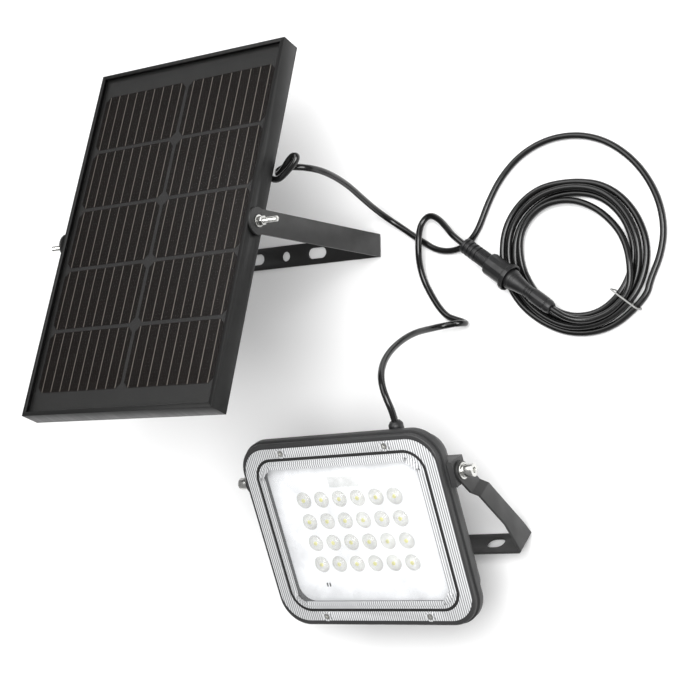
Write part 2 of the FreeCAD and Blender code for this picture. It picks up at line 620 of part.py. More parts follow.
def make_lamp_cover():
    """The clear cover: a plate with a raised window and four screw bosses."""
    base = "bezel_z + bezel_thick - cover_thick"
    body = rounded_plate("Cover", "cover_wide", "cover_tall", "cover_round", base, "cover_thick")
    top = "bezel_z + bezel_thick"
    window = outline_sketch(body, "Window", "window_wide", "window_tall", "window_round", top)
    pad(body, window, "window_step")
    pad(body, hole_sketch(body, "Bosses", "boss_rad", screw_spots(), top), "boss_high")
    high = top + " + boss_high"
    holes = hole_sketch(body, "BossHoles", "screw_head", screw_spots(), high)
    pocket(body, holes, "boss_high + screw_head_long - boss_high")
    through = hole_sketch(body, "CoverHoles", "screw_rad", screw_spots(), high)
    pocket(body, through, "cover_thick + boss_high + 1")
    publish("lamp_cover", lamp_frame(), body)


def make_cover_gasket():
    level = "bezel_z + bezel_thick - cover_thick - seal_thick"
    body = rounded_plate("Seal", "seal_wide", "seal_tall", "seal_round", level, "seal_thick")
    inner = outline_sketch(body, "SealInner", "seal_in_wide", "seal_in_tall", "seal_in_round",
                           level + " + seal_thick")
    pocket(body, inner, "seal_thick + 1")
    publish("cover_gasket", lamp_frame(), body)


def make_cover_screws():
    high = "bezel_z + bezel_thick + boss_high - screw_head_long"
    head = rod("ScrewHead", "screw_head", "screw_head_long", ("0", "0", high))
    shank = rod("ScrewShank", "screw_rad", "screw_long", ("0", "0", high + " - screw_long"))
    drive = hexagon("ScrewDrive", "screw_rad", "screw_head_long", ("0", "0", high + " + 0.8"))
    screw = cut("Screw", fuse("ScrewBody", head, shank), drive)
    spots = [(x, y, 0) for x, y in screw_spots()]
    publish("cover_screws", lamp_frame(), copies("CoverScrews", screw, spots))


def led_spots():
    return [
        (size("led_x") + (column - 2.5) * size("led_pitch_x"),
         size("led_y") + (row - 1.5) * size("led_pitch_y"), 0)
        for row in range(4) for column in range(6)
    ]


def make_light_source():
    """White plate, lens domes, LED board and its chips."""
    plate = rounded_plate("Plate", "plate_wide", "plate_tall", "plate_round", "plate_z", "plate_thick")
    holes = hole_sketch(plate, "PlateHoles", "lens_hole", [s[:2] for s in led_spots()],
                        "plate_z + plate_thick")
    pocket(plate, holes, "plate_thick + 1")
    publish("reflector_plate", lamp_frame(), plate)
    ball = doc.addObject("Part::Sphere", "LensBall")
    bind(ball, {"Radius": "dome_sphere"})
    drop = math.sqrt(size("dome_sphere") ** 2 - size("dome_base") ** 2)
    ball.Placement.Base = Vector(0, 0, size("plate_z") + size("plate_thick") - drop)
    above = rod("LensAbove", "dome_sphere", "dome_sphere", ("0", "0", "plate_z + plate_thick"))
    publish("lens_domes", lamp_frame(), copies("LensDomes", common("Lens", ball, above), led_spots()))
    board = block("LedBoardBlank", ("led_board_wide", "led_board_tall", "board_thick"),
                  ("led_x - led_board_wide / 2", "led_y - led_board_tall / 2", "led_board_z"))
    publish("led_board", lamp_frame(), board)
    chip = block("Chip", ("chip", "chip", "chip_thick"),
                 ("-chip / 2", "-chip / 2", "led_board_z + board_thick"))
    publish("led_chips", lamp_frame(), copies("LedChips", chip, led_spots()))
    sensors = [block(f"Sensor{n}", ("sensor_wide", "sensor_tall", "chip_thick"),
                     (f"sensor_x + {n} * sensor_gap", "sensor_y", "plate_z + plate_thick"))
               for n in range(2)]
    publish("remote_receiver", lamp_frame(), *sensors)


def make_electronics():
    """Control board above the battery holder, and four cells in the bulge."""
    board = block("ControlBlank", ("control_wide", "control_tall", "board_thick"),
                  ("control_x - control_wide / 2", "control_y", "control_z"))
    chip = block("ControlChip", ("control_tall", "control_tall / 2", "board_thick"),
                 ("control_x", "control_y + 3", "control_z + board_thick"))
    coil = rod("ControlCoil", "control_tall / 4", "board_thick * 2",
               ("control_x - control_tall", "control_y + control_tall / 2", "control_z + board_thick"))
    publish("control_board", lamp_frame(), fuse("ControlBoard", board, chip, coil))
    cell = rod("BatteryCell", "cell_rad", "cell_length", ("-cell_length / 2", "0", "battery_z"), "x")
    pitch = 2 * size("cell_rad") + 1
    spots = [(0, (row - 1.5) * pitch, 0) for row in range(4)]
    publish("battery_cells", lamp_frame(), copies("BatteryCells", cell, spots))
    tall = "8 * cell_rad + 8"
    wall = ("holder_thick", tall, "2 * cell_rad")
    right = block("HolderWall", wall, ("cell_length / 2 + 0.3", "-4 * cell_rad - 4", "battery_z - cell_rad"))
    publish("battery_holder", lamp_frame(), right, mirrored(right))


def make_lamp_gland():
    spot = Vector(size("lamp_gland_x"), size("shell_tall") / 2, size("lamp_gland_z"))
    aim = Placement(spot, TURNS["y"])
    frame = lamp_frame().multiply(aim)
    base = hexagon("LampHex", "gland_hex", "lamp_gland_hex", ("0", "0", "0"))
    publish("lamp_gland_base", frame, base)
    cap = rod("LampCap", "gland_cap", "lamp_gland_cap", ("0", "0", "lamp_gland_hex"))
    tip = cone("LampTip", "gland_cap", "gland_tip", "lamp_gland_tip",
               ("0", "0", "lamp_gland_hex + lamp_gland_cap"))
    publish("lamp_gland_nut", frame, fuse("LampGlandNut", cap, tip))


def make_lamp_pivot():
    """Brass inserts in the lugs, and socket head bolts with spring and flat washers."""
    centre = ("hinge_y", "hinge_z")
    barrel = rod("InsertBarrel", "insert_rad", "lug_out - bolt_in", ("bolt_in",) + centre, "x")
    thread = rod("InsertThread", "bolt_rad", "lug_out", ("bolt_in + 1",) + centre, "x")
    insert = cut("Insert", barrel, thread)
    publish("lug_inserts", lamp_frame(), insert, mirrored(insert))
    flat_start = "tab_out + 0.1"
    disc = rod("FlatDisc", "flat_rad", "flat_thick", (flat_start,) + centre, "x")
    eye = rod("FlatEye", "bolt_rad", "flat_thick * 2", (flat_start,) + centre, "x")
    flat = cut("FlatWasher", disc, eye)
    publish("lamp_flat_washers", lamp_frame(), flat, mirrored(flat))
    spring_start = flat_start + " + flat_thick"
    ring = rod("SpringRing", "spring_rad", "spring_thick", (spring_start,) + centre, "x")
    eye = rod("SpringEye", "bolt_rad", "spring_thick * 2", (spring_start,) + centre, "x")
    split = block("SpringSplit", ("spring_thick * 2", "0.8", "spring_rad * 2"),
                  (spring_start + " - 1", "hinge_y - 0.4", "hinge_z"))
    spring = cut("SpringWasher", ring, eye, split)
    publish("lamp_spring_washers", lamp_frame(), spring, mirrored(spring))
    head_start = spring_start + " + spring_thick"
    shank = rod("BoltShank", "bolt_rad", head_start + " - bolt_in - 1", ("bolt_in + 1",) + centre, "x")
    head = rod("BoltHead", "cap_rad", "cap_long", (head_start,) + centre, "x")
    socket = hexagon("BoltSocket", "socket_rad", "cap_long", (head_start + " + cap_long - socket_deep",) + centre, "x")
    bolt = cut("PivotBolt", fuse("BoltBody", shank, head), socket)
    publish("lamp_pivot_bolts", lamp_frame(), bolt, mirrored(bolt))


def yoke_profile():
    """The bent strip seen from the front: right half outwards, then back along its inner side."""
    tab, out, thick = size("tab_out"), size("yoke_out"), size("yoke_thick")
    high, low, foot = size("fold_high"), size("fold_low"), -size("yoke_drop")
    top = 2 * size("yoke_half")
    cut_off = size("bend")
    outer = [(tab, top), (tab, high), (out, low), (out, foot + cut_off), (out - cut_off, foot)]
    inner = [(out - thick - 1, foot + thick), (out - thick, foot + thick + 1), (out - thick, low),
             (tab - thick, high), (tab - thick, top)]
    left = [(-x, z) for x, z in reversed(outer)] + [(-x, z) for x, z in reversed(inner)]
    return outer + left[:5] + left[5:] + inner


def make_lamp_bracket():
    """A bent strip whose arms lean over and widen to the web; local Y is across the strip."""
    start = -2 * size("yoke_half")
    outer_half = yoke_profile()[:5]
    inner_half = yoke_profile()[-5:]
    ring = outer_half + [(-x, z) for x, z in reversed(outer_half)]
    ring += [(-x, z) for x, z in reversed(inner_half)] + inner_half
    strip = prism("YokeStrip", [(x, start, z) for x, z in ring], (0, 5 * size("web_far"), 0))
    side = prism("YokeSide", [(-150, y, z) for y, z in yoke_side()], (300, 0, 0))
    end = rod("YokeEnd", "yoke_half", "300", ("-150", "0", "0"), "x")
    arms = common("YokeArms", strip, fuse("YokeOutline", side, end))
    middle = "(web_near + web_far) / 2"
    level = "-yoke_drop - arm_thick"
    holes = slot("YokeSlotRight", "yoke_slot", "yoke_slot_x", middle, level)
    holes += slot("YokeSlotLeft", "yoke_slot", "-yoke_slot_x", middle, level)
    holes.append(rod("YokeHole", "yoke_hole", "arm_thick * 4", ("0", middle, level)))
    holes.append(rod("YokePivot", "bolt_hole", "300", ("-150", "0", "0"), "x"))
    publish("lamp_bracket", yoke_frame(), cut("LampBracket", arms, *holes))


def yoke_side():
    """The arm seen from the side: it leans from the pivot, then drops and widens to the web."""
    lean = math.radians(size("yoke_lean"))
    along = (math.sin(lean), -math.cos(lean))
    across = (math.cos(lean), math.sin(lean))
    half, foot = size("yoke_half"), -size("yoke_drop")

    def spot(offset, distance):
        return tuple(offset * a + distance * b for a, b in zip(across, along))

    far = [spot(half, 0), spot(half, size("knee_far")), (size("web_far"), foot - 1)]
    near = [(size("web_near"), foot - 1), spot(-half, size("knee_near")), spot(-half, 0)]
    return far + near


# ---------------------------------------------------------------- cord and connector


def cord_path(name, route):
    """Straight runs joined by tangent arcs, each as large as its two runs allow."""
    points = [Vector(*point) for point in route]
    edges = []
    radii = []
    start = points[0]
    for before, corner, after in zip(points, points[1:], points[2:]):
        back = (before - corner).normalize()
        ahead = (after - corner).normalize()
        turn = math.pi - back.getAngle(ahead)
        reach = 0.45 * min(before.distanceToPoint(corner), corner.distanceToPoint(after))
        radius = reach / math.tan(turn / 2)
        inward = (back + ahead).normalize()
        middle = corner + inward * (radius / math.cos(turn / 2) - radius)
        first, last = corner + back * reach, corner + ahead * reach
        edges.append(Part.LineSegment(start, first).toShape())
        edges.append(Part.Arc(first, middle, last).toShape())
        radii.append(round(radius, 1))
        start = last
    edges.append(Part.LineSegment(start, points[-1]).toShape())
    print(name, "radii", radii)
    return Part.Wire(edges)


def make_cord(label, route):
    """A round tube along a route, whose volume is compared with its section times its length."""
    path = cord_path(label, route)
    start, ahead = Vector(*route[0]), Vector(*route[1])
    radius = size("cord_rad")
    section = Part.Wire(Part.makeCircle(radius, start, ahead - start))
    tube = path.makePipeShell([section], True, True)
    expected = math.pi * radius ** 2 * path.Length
    if abs(tube.Volume / expected - 1) > 0.01:
        raise RuntimeError(f"{label} has the wrong volume")
    print(label, "length", round(path.Length))
    item = doc.addObject("Part::Feature", "".join(word.title() for word in label.split("_")))
    item.Shape = tube
    publish(label, Placement(), item)


def make_coil():
    """The outer shape of the coiled turns, lower where they pass under the connector."""
    centre = ("coil_x", "coil_y", "coil_z")
    disc = rod("CoilDisc", "coil_out", "coil_high", centre)
    core = rod("CoilCore", "coil_in", "coil_high * 2", centre)
    room = block("CoilRoom", ("2 * nut_flange + 3", "4 * nut_flange", "taper_start + taper_long"),
                 ("-nut_flange - 1.5", "-nut_flange - 0.3", "4"))
    holder = doc.addObject("Part::Compound", "CoilRoomSet")
    holder.Links = [room]
    holder.Placement = plug_frame()
    publish("panel_cord_coil", Placement(), cut("Coil", disc, core, holder))


def make_coil_tie():
    """A wire tie round the turns, with a short twisted end."""
    span = "coil_out - coil_in"
    wide = "-tie_wide / 2"
    outer = block("TieOuter", (span + " + 4 * tie_wire", "tie_wide", "coil_high + 3 * tie_wire"),
                  ("coil_in - 2 * tie_wire", wide, "coil_z - 1.2 * tie_wire"))
    inner = block("TieInner", (span + " + 2 * tie_wire", "tie_wide * 2", "coil_high + tie_wire"),
                  ("coil_in - tie_wire", wide + " * 2", "coil_z - 0.2 * tie_wire"))
    twist = rod("TieTwist", "tie_wire", "9", ("coil_out + 1.5 * tie_wire", "0", "coil_z + 3"), "x")
    tie = cut("Tie", fuse("TieLoop", outer, twist), inner)
    turn = Rotation(Vector(0, 0, 1), size("tie_turn"))
    publish("coil_tie", Placement(Vector(size("coil_x"), size("coil_y"), 0), turn), tie)


def make_connector():
    """Plug with ribbed boot, coupling nut, sealing ring, pins, and the socket with its tail."""
    frame = plug_frame()
    on_axis = ("0", "0")
    sleeve = cone("BootSleeve", "boot_end", "boot_rad", "boot_long", on_axis + ("0",))
    ribs = [rod(f"BootRib{n}", "rib_rad", "rib_long", on_axis + (f"{n} * 2.1 * rib_long + 0.6",))
            for n in range(5)]
    publish("plug_boot", frame, fuse("PlugBoot", sleeve, *ribs))
    plug = rod("PlugShell", "plug_rad", "plug_long", on_axis + ("boot_long",))
    sockets = [rod(f"PlugPort{n}", "pin_rad + 0.2", "pin_long",
                   (f"{sign}pin_gap", "0", "boot_long + plug_long - pin_long / 2"))
               for n, sign in enumerate(("", "-"))]
    publish("plug_body", frame, cut("PlugBody", plug, *sockets))
    barrel = rod("NutBarrel", "nut_body", "nut_body_long", on_axis + ("nut_start",))
    flange = rod("NutFlange", "nut_flange", "nut_flange_long", on_axis + ("nut_start + nut_body_long",))
    bore = rod("NutInside", "nut_bore", "nut_body_long * 2", on_axis + ("nut_start - 1",))
    mouth = rod("NutMouth", "nut_mouth", "nut_mouth_deep * 2",
                on_axis + ("nut_start + nut_body_long + nut_flange_long - nut_mouth_deep",))
    publish("coupling_nut", frame, cut("CouplingNut", fuse("NutBody", barrel, flange), bore, mouth))
    ring = doc.addObject("Part::Torus", "SealRing")
    bind(ring, {"Radius1": "ring_rad - ring_line", "Radius2": "ring_line"})
    move_to(ring, on_axis + ("boot_long + plug_long + ring_line",))
    publish("connector_seal", frame, ring)
    make_socket(frame, on_axis)


def make_socket(frame, on_axis):
    start = "boot_long + plug_long + 2 * ring_line"
    collar = rod("SocketCollar", "taper_rad", "4", on_axis + (start,))
    taper = cone("SocketTaper", "taper_rad", "neck_rad", "taper_start + taper_long - 61",
                 on_axis + (start + " + 4",))
    neck = rod("SocketNeck", "neck_rad", "neck_long", on_axis + ("taper_start + taper_long - 1",))
    grooves = []
    for number in range(3):
        level = f"taper_start + taper_long + {number} * neck_long / 3"
        ring = rod(f"NeckRing{number}", "neck_rad + 1", "1.2", on_axis + (level,))
        keep = rod(f"NeckKeep{number}", "neck_rad - groove_deep", "1.2", on_axis + (level,))
        grooves.append(cut(f"NeckGroove{number}", ring, keep))
    publish("socket_body", frame, cut("SocketBody", fuse("SocketShell", collar, taper, neck), *grooves))
    tail_start = "taper_start + taper_long + neck_long - 1"
    tail = rod("TailBarrel", "tail_rad", "tail_long - 3", on_axis + (tail_start,))
    end = cone("TailEnd", "tail_rad", "tail_rad - 1.6", "4.3", on_axis + (tail_start + " + tail_long - 3",))
    publish("socket_tail", frame, fuse("SocketTail", tail, end))
    level = "boot_long + plug_long - pin_long / 2 + 0.5"
    pins = [rod(f"Pin{n}", "pin_rad", "pin_long / 2 + 2 * ring_line - 0.5", (f"{sign}pin_gap", "0", level))
            for n, sign in enumerate(("", "-"))]
    publish("contact_pins", frame, *pins)


# ---------------------------------------------------------------- build and write


def check_document():
    for item in doc.Objects:
        if {"Invalid", "Error"} & set(item.State):
            raise RuntimeError(f"{item.Name} failed: {item.State}")
    for node in parts:
        shape = node.Shape
        if shape.isNull() or not shape.isValid() or not shape.Solids:
            raise RuntimeError(f"{node.Label} has no valid solid")


def write_parts():
    os.makedirs("parts", exist_ok=True)
    for node in parts:
        node.Shape.exportStep(os.path.join("parts", node.Label + ".step"))
    print(len(parts), "sub-parts written")


fill_sheet()
make_panel_frame()
make_corner_keys()
make_laminate()
make_junction_box()
make_panel_pivot()
make_panel_bracket()
make_lamp_housing()
make_lamp_bezel()
make_lamp_cover()
make_cover_gasket()
make_cover_screws()
make_light_source()
make_electronics()
make_lamp_gland()
make_lamp_pivot()
make_lamp_bracket()
make_cord("panel_cord_drop", PANEL_DROP)
make_cord("panel_cord_run", PANEL_RUN)
make_cord("panel_cord_tail", PANEL_TAIL)
make_cord("lamp_lead_drop", LAMP_DROP)
make_cord("lamp_lead_run", LAMP_RUN)
make_coil()
make_coil_tie()
make_connector()
doc.recompute()
check_document()
write_parts()
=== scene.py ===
import json
import math

import bpy
from bpy.props import FloatProperty, FloatVectorProperty, IntProperty, PointerProperty
from mathutils import Matrix, Vector

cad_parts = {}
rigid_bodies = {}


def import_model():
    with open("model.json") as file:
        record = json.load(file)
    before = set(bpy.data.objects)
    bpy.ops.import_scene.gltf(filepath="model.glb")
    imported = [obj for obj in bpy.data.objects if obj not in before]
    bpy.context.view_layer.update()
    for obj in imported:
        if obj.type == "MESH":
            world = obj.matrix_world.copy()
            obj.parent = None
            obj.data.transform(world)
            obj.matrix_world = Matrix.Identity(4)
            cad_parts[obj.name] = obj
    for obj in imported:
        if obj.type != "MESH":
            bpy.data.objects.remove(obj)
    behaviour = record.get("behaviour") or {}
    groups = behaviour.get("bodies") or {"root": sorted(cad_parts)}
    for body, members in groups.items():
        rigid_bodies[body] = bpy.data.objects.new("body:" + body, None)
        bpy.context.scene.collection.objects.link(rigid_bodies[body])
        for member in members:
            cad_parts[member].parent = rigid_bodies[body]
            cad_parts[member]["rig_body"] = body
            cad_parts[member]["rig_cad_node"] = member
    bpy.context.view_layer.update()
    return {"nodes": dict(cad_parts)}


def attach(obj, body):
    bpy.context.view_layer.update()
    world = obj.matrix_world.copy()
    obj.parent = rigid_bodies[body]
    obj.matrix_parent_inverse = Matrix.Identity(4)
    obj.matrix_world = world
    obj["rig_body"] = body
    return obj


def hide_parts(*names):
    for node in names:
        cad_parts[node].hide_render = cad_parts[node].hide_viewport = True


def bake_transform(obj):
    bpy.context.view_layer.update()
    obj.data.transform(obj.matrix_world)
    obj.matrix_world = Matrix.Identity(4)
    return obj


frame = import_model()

bl_info = {
    "name": "Solar Flood Light",
    "version": (1, 0, 0),
    "blender": (4, 5, 0),
    "location": "3D View > Sidebar > Flood Light",
    "description": "Builds the finished pieces of a solar panel and flood lamp joined by a cord",
    "category": "Object",
}

MM = 0.001

# Frames of the tilted pieces, in metres.  The panel's and the lamp's local Z
# is square to the front, and the plug's runs along its axis.
HEAD = Matrix.Translation((0, 0, 0.1915)) @ Matrix.Rotation(math.radians(-17.8), 4, "X")
LAMP = (Matrix.Translation((0.1511, -0.271, 0.1089)) @ Matrix.Rotation(math.radians(2.2), 4, "Z")
        @ Matrix.Rotation(math.radians(21.8), 4, "X"))
PLUG_START = Vector((0.2173, -0.0116, 0.0195))
PLUG_AXIS = Vector((86.3, -65, 0)).normalized()
PLUG = Matrix.Translation(PLUG_START) @ Matrix(
    (Vector((0, 0, 1)).cross(PLUG_AXIS), (0, 0, 1), PLUG_AXIS)).transposed().to_4x4()

# Layout of the repeated pieces, in millimetres, in the frame of their head.
CELL_WIDE, CELL_LONG = 101, 58
CELL_COLUMN = 52.5
CELL_ROWS, FIRST_ROW, ROW_PITCH = 5, -120.2, 61.5
LED_COLUMNS, LED_ROWS = 6, 4
LED_PITCH = (19.4, 20.9)
LED_MIDDLE = (-3, -0.9)
LENS_SPHERE, LENS_OPENING, LENS_BASE = 9.8, 7.9, -9.45

# Route points of the two free cords, in millimetres, close to the part's own.
PANEL_DROP = [
    (88, 49.84, 160.27), (97, 49.6, 160), (101.5, 43.5, 158.5), (109.5, 41, 157), (119, 47.5, 157),
    (127.5, 54, 157), (130.5, 60, 156.5), (124.5, 61.5, 155.5), (118, 56.5, 154.5), (111, 50.5, 152.5),
    (104, 47, 150.5), (102.5, 52.5, 147.5), (110, 54.5, 146), (119, 53.5, 145.5), (129, 52.5, 139),
    (133.5, 51.5, 124), (133, 49, 102), (129.5, 45, 76), (125.5, 38.5, 50), (123.5, 31.5, 26),
    (128.5, 23, 9), (140.5, 13.6, 3.2), (153.5, 4.2, 3),
]
PANEL_RUN = [
    (164.5, -2.8, 3), (176, -10.1, 3), (190, -13.6, 3), (204.5, -12, 3), (215.5, -5, 3),
    (224, 6, 3), (233.5, 27, 3), (247, 48.5, 3), (268, 67.5, 3), (296, 78.3, 3), (327, 78.3, 3),
    (356, 67.5, 3), (382, 45, 3), (399, 16, 3), (404.5, -13, 3), (400, -37, 3), (390, -57, 3),
]
PANEL_TAIL = [
    (341.5, -87.5, 12), (332, -88.7, 14), (321.5, -87.3, 17), (312, -82.92, 19.5), (303.82, -76.76, 19.5),
]
LAMP_LEAD = [
    (205.896, -173.466, 124.962), (205.593, -165.584, 128.117), (203, -155.5, 132.3), (198.3, -145, 131.5),
    (191.8, -133.5, 124), (185.6, -121.5, 110), (181.8, -110, 92), (180.8, -99.3, 71),
    (181.8, -91.5, 50), (184, -87.5, 31), (189.5, -84.8, 20), (198, -83.4, 16.6), (209, -82.6, 16.4),
    (209, -82, 3), (196.5, -77.5, 3), (187.5, -74.26, 3), (178.5, -65, 3), (169.8, -51.5, 3),
    (163.5, -38, 4.5), (162, -25, 8.5), (163.7, -11.5, 13.5), (164.5, 2.5, 13.5), (165, 15, 9.5),
    (173.5, 22.5, 8.2), (184.5, 17.2, 9.5), (195.5, 7.2, 14), (206.12, -3.18, 19.5),
    (217.3, -11.6, 19.5),
]
# The coil's turns, clockwise from above, one radius every 30 degrees from -30.
# The second and fourth turn lie on the first and third, but not under the nut.
COIL_CENTRE = (317.5, -32)
COIL_TURNS = [
    (3, (77.5, 73, 66.5, 62.5, 65, 70, 76, 75, 68.5, 70, 70, 71.5)),
    (7.1, (71.2, 67, 61.5, 57, 58.6, 63.6, 67.5, 66.5, 63.5, 64.5, 64.2, 65.2)),
    (3, (64.9, 61.8, 56.6, 51.8, 52.3, 57.3, 62, 61.6, 58.5, 59.3, 58.8, 58.9)),
    (7.1, (58.6, 56.6, 51.8, 46.8, 46, 51, 56.8, 56.8, 52, 48.5)),
]
COIL_LAST = [(30, 49.5, 7.8), (8, 53.5, 9.5), (-13, 59, 12.2), (-32, 64.3, 10), (-52, 62.5, 10.6)]


# ---------------------------------------------------------------- sizes and colours a user may change


class FloodLightSizes(bpy.types.PropertyGroup):
    cord_diameter: FloatProperty(name="Cord diameter", description="Outer diameter of both cords",
                                 default=0.006, min=0.003, max=0.009, unit="LENGTH")
    busbar_width: FloatProperty(name="Busbar width", description="Width of one wire on the cells",
                                default=0.0009, min=0.0003, max=0.002, unit="LENGTH")
    busbar_count: IntProperty(name="Busbars", description="Wires on each cell", default=9, min=2, max=16)
    edge_round: FloatProperty(name="Edge rounding", description="Rounding of the metal edges",
                              default=0.0007, min=0.0001, max=0.002, unit="LENGTH")
    rib_pitch: FloatProperty(name="Rib pitch", description="Pitch of the ribs on the lamp cover",
                             default=0.0022, min=0.001, max=0.005, unit="LENGTH")


class FloodLightColours(bpy.types.PropertyGroup):
    frame: FloatVectorProperty(name="Panel frame", description="Black anodised aluminium",
                               default=(0.008, 0.008, 0.0078), min=0, max=1, subtype="COLOR")
    bracket: FloatVectorProperty(name="Brackets", description="Powder coat of both brackets",
                                 default=(0.0125, 0.0125, 0.0122), min=0, max=1, subtype="COLOR")
    casing: FloatVectorProperty(name="Lamp casing", description="Powder coat of the lamp casing",
                                default=(0.026, 0.026, 0.0265), min=0, max=1, subtype="COLOR")
    cell: FloatVectorProperty(name="Cells", description="Silicon seen through its coating",
                              default=(0.0035, 0.0022, 0.0017), min=0, max=1, subtype="COLOR")
    jacket: FloatVectorProperty(name="Cord jacket", description="Rubber jacket of both cords",
                                default=(0.004, 0.004, 0.004), min=0, max=1, subtype="COLOR")


def sizes():
    return bpy.context.scene.flood_light_sizes


def colours():
    return bpy.context.scene.flood_light_colours


# ---------------------------------------------------------------- node materials


def linear(code):
    """A '#rrggbb' colour as linear RGBA."""
    channels = [int(code[i:i + 2], 16) / 255 for i in (1, 3, 5)]
    return tuple(c / 12.92 if c <= 0.04045 else ((c + 0.055) / 1.055) ** 2.4 for c in channels) + (1,)


def shade(colour, factor):
    """A colour made darker or lighter, as RGBA."""
    return tuple(min(1, c * factor) for c in tuple(colour)[:3]) + (1,)


def add(tree, kind, inputs=(), **settings):
    """Adds one node, sets its settings and inputs, and links inputs that are sockets."""
    node = tree.nodes.new("ShaderNode" + kind)
    node.location = (-260 * (len(tree.nodes) % 6), -240 * (len(tree.nodes) // 6))
    for key, value in settings.items():
        setattr(node, key, value)
    for key, value in dict(inputs).items():
        if isinstance(value, bpy.types.NodeSocket):
            tree.links.new(value, node.inputs[key])
        else:
            node.inputs[key].default_value = value
    return node


def begin(name, **sockets):
    """A new material with a shader whose constant sockets are set."""
    material = bpy.data.materials.new(name)
    material.use_nodes = True
    tree = material.node_tree
    tree.nodes.clear()
    shader = add(tree, "BsdfPrincipled", {key.replace("_", " "): value for key, value in sockets.items()})
    add(tree, "OutputMaterial", {"Surface": shader.outputs["BSDF"]})
    return material, tree, shader


def blotches(tree, size_mm, detail=3.0, stretch=(1, 1, 1)):
    """Soft noise in object coordinates whose features are about size_mm across."""
    place = add(tree, "TexCoord")
    scaled = add(tree, "Mapping", {"Vector": place.outputs["Object"], "Scale": stretch})
    return add(tree, "TexNoise", {"Vector": scaled.outputs["Vector"], "Scale": 1000 / size_mm,
                                  "Detail": detail}).outputs["Fac"]


def ramp(tree, value, dark, light, low=0.3, high=0.7):
    """Colour between dark and light as value goes from low to high."""
    spread = add(tree, "MapRange", {"Value": value, "From Min": low, "From Max": high})
    return add(tree, "Mix", {"Factor": spread.outputs["Result"], "A": dark, "B": light},
               data_type="RGBA").outputs["Result"]


def between(tree, value, low, high):
    """A number between low and high as value goes over the middle of its range."""
    return add(tree, "MapRange", {"Value": value, "From Min": 0.3, "From Max": 0.7,
                                  "To Min": low, "To Max": high}).outputs["Result"]


def relief(tree, shader, height, depth_mm):
    """Bump of this depth from a value of 0 to 1."""
    bump = add(tree, "Bump", {"Height": height, "Distance": depth_mm * MM, "Strength": 1.0})
    tree.links.new(bump.outputs["Normal"], shader.inputs["Normal"])


def stripes(tree, direction, pitch_mm):
    """A smooth wave from 0 to 1 that repeats along direction every pitch_mm."""
    place = add(tree, "TexCoord")
    along = add(tree, "VectorMath", {0: place.outputs["Object"], 1: tuple(direction)}, operation="DOT_PRODUCT")
    turns = add(tree, "Math", {0: along.outputs["Value"], 1: 2 * math.pi * 1000 / pitch_mm}, operation="MULTIPLY")
    wave = add(tree, "Math", {0: turns.outputs["Value"]}, operation="SINE")
    return add(tree, "MapRange", {"Value": wave.outputs["Value"], "From Min": -1.0, "From Max": 1.0}
               ).outputs["Result"]


def coated(name, colour, patch, grain, depth, rough, **sockets):
    """Patchy colour, grained relief and uneven gloss: the base of most finishes here."""
    material, tree, shader = begin(name, **sockets)
    patches = blotches(tree, patch)
    tree.links.new(ramp(tree, patches, shade(colour, 0.88), shade(colour, 1.12)), shader.inputs["Base Color"])
    tree.links.new(between(tree, blotches(tree, patch * 0.6), *rough), shader.inputs["Roughness"])
    relief(tree, shader, blotches(tree, grain, 2.0), depth)
    return material


def anodised_aluminium():
    # Black anodising: satin, with faint drawing lines and a slightly uneven dye.
    material, tree, shader = begin("black_anodised_aluminium", Metallic=0.55)
    colour = colours().frame
    lines = blotches(tree, 0.6, 2.0, (1, 0.02, 0.02))
    tree.links.new(ramp(tree, blotches(tree, 30), shade(colour, 0.85), shade(colour, 1.2)),
                   shader.inputs["Base Color"])
    tree.links.new(between(tree, lines, 0.34, 0.5), shader.inputs["Roughness"])
    relief(tree, shader, lines, 0.01)
    return material


def bracket_coat():
    # Dark powder coat on bent steel: fine orange peel and a soft sheen.
    return coated("bracket_powder_coat", colours().bracket, 25, 0.9, 0.02, (0.42, 0.55))


def casing_coat():
    # Powder coat on a die casting: coarser peel, dull.
    return coated("casing_powder_coat", colours().casing, 30, 0.7, 0.035, (0.45, 0.6))


def cord_rubber():
    # Extruded jacket: glossy black with faint die lines and dust dulling.
    return coated("cord_jacket", colours().jacket, 14, 1.2, 0.012, (0.16, 0.24))


def black_nylon():
    # Moulded nylon: satin, with a fine spark-eroded mould texture.
    return coated("moulded_black_nylon", linear("#141415"), 12, 0.45, 0.02, (0.36, 0.5))


def zinc_plate():
    # Bright zinc: metallic, faintly clouded, with small turning marks.
    return coated("bright_zinc_plate", linear("#c9c9c6"), 5, 0.3, 0.006, (0.2, 0.36), Metallic=1.0)


def tie_wire():
    # Plastic-covered tie wire: mid grey, satin.
    return coated("covered_tie_wire", linear("#8c8c8a"), 4, 0.4, 0.01, (0.3, 0.45))


def brass():
    # Bare brass: warm metal, lightly dulled.
    return coated("bare_brass", linear("#c9a45a"), 4, 0.3, 0.005, (0.22, 0.38), Metallic=1.0)


def silicon_rubber():
    # Seal rubber: matte black with a fine tooth.
    return coated("seal_rubber", linear("#141414"), 8, 0.5, 0.02, (0.6, 0.75))


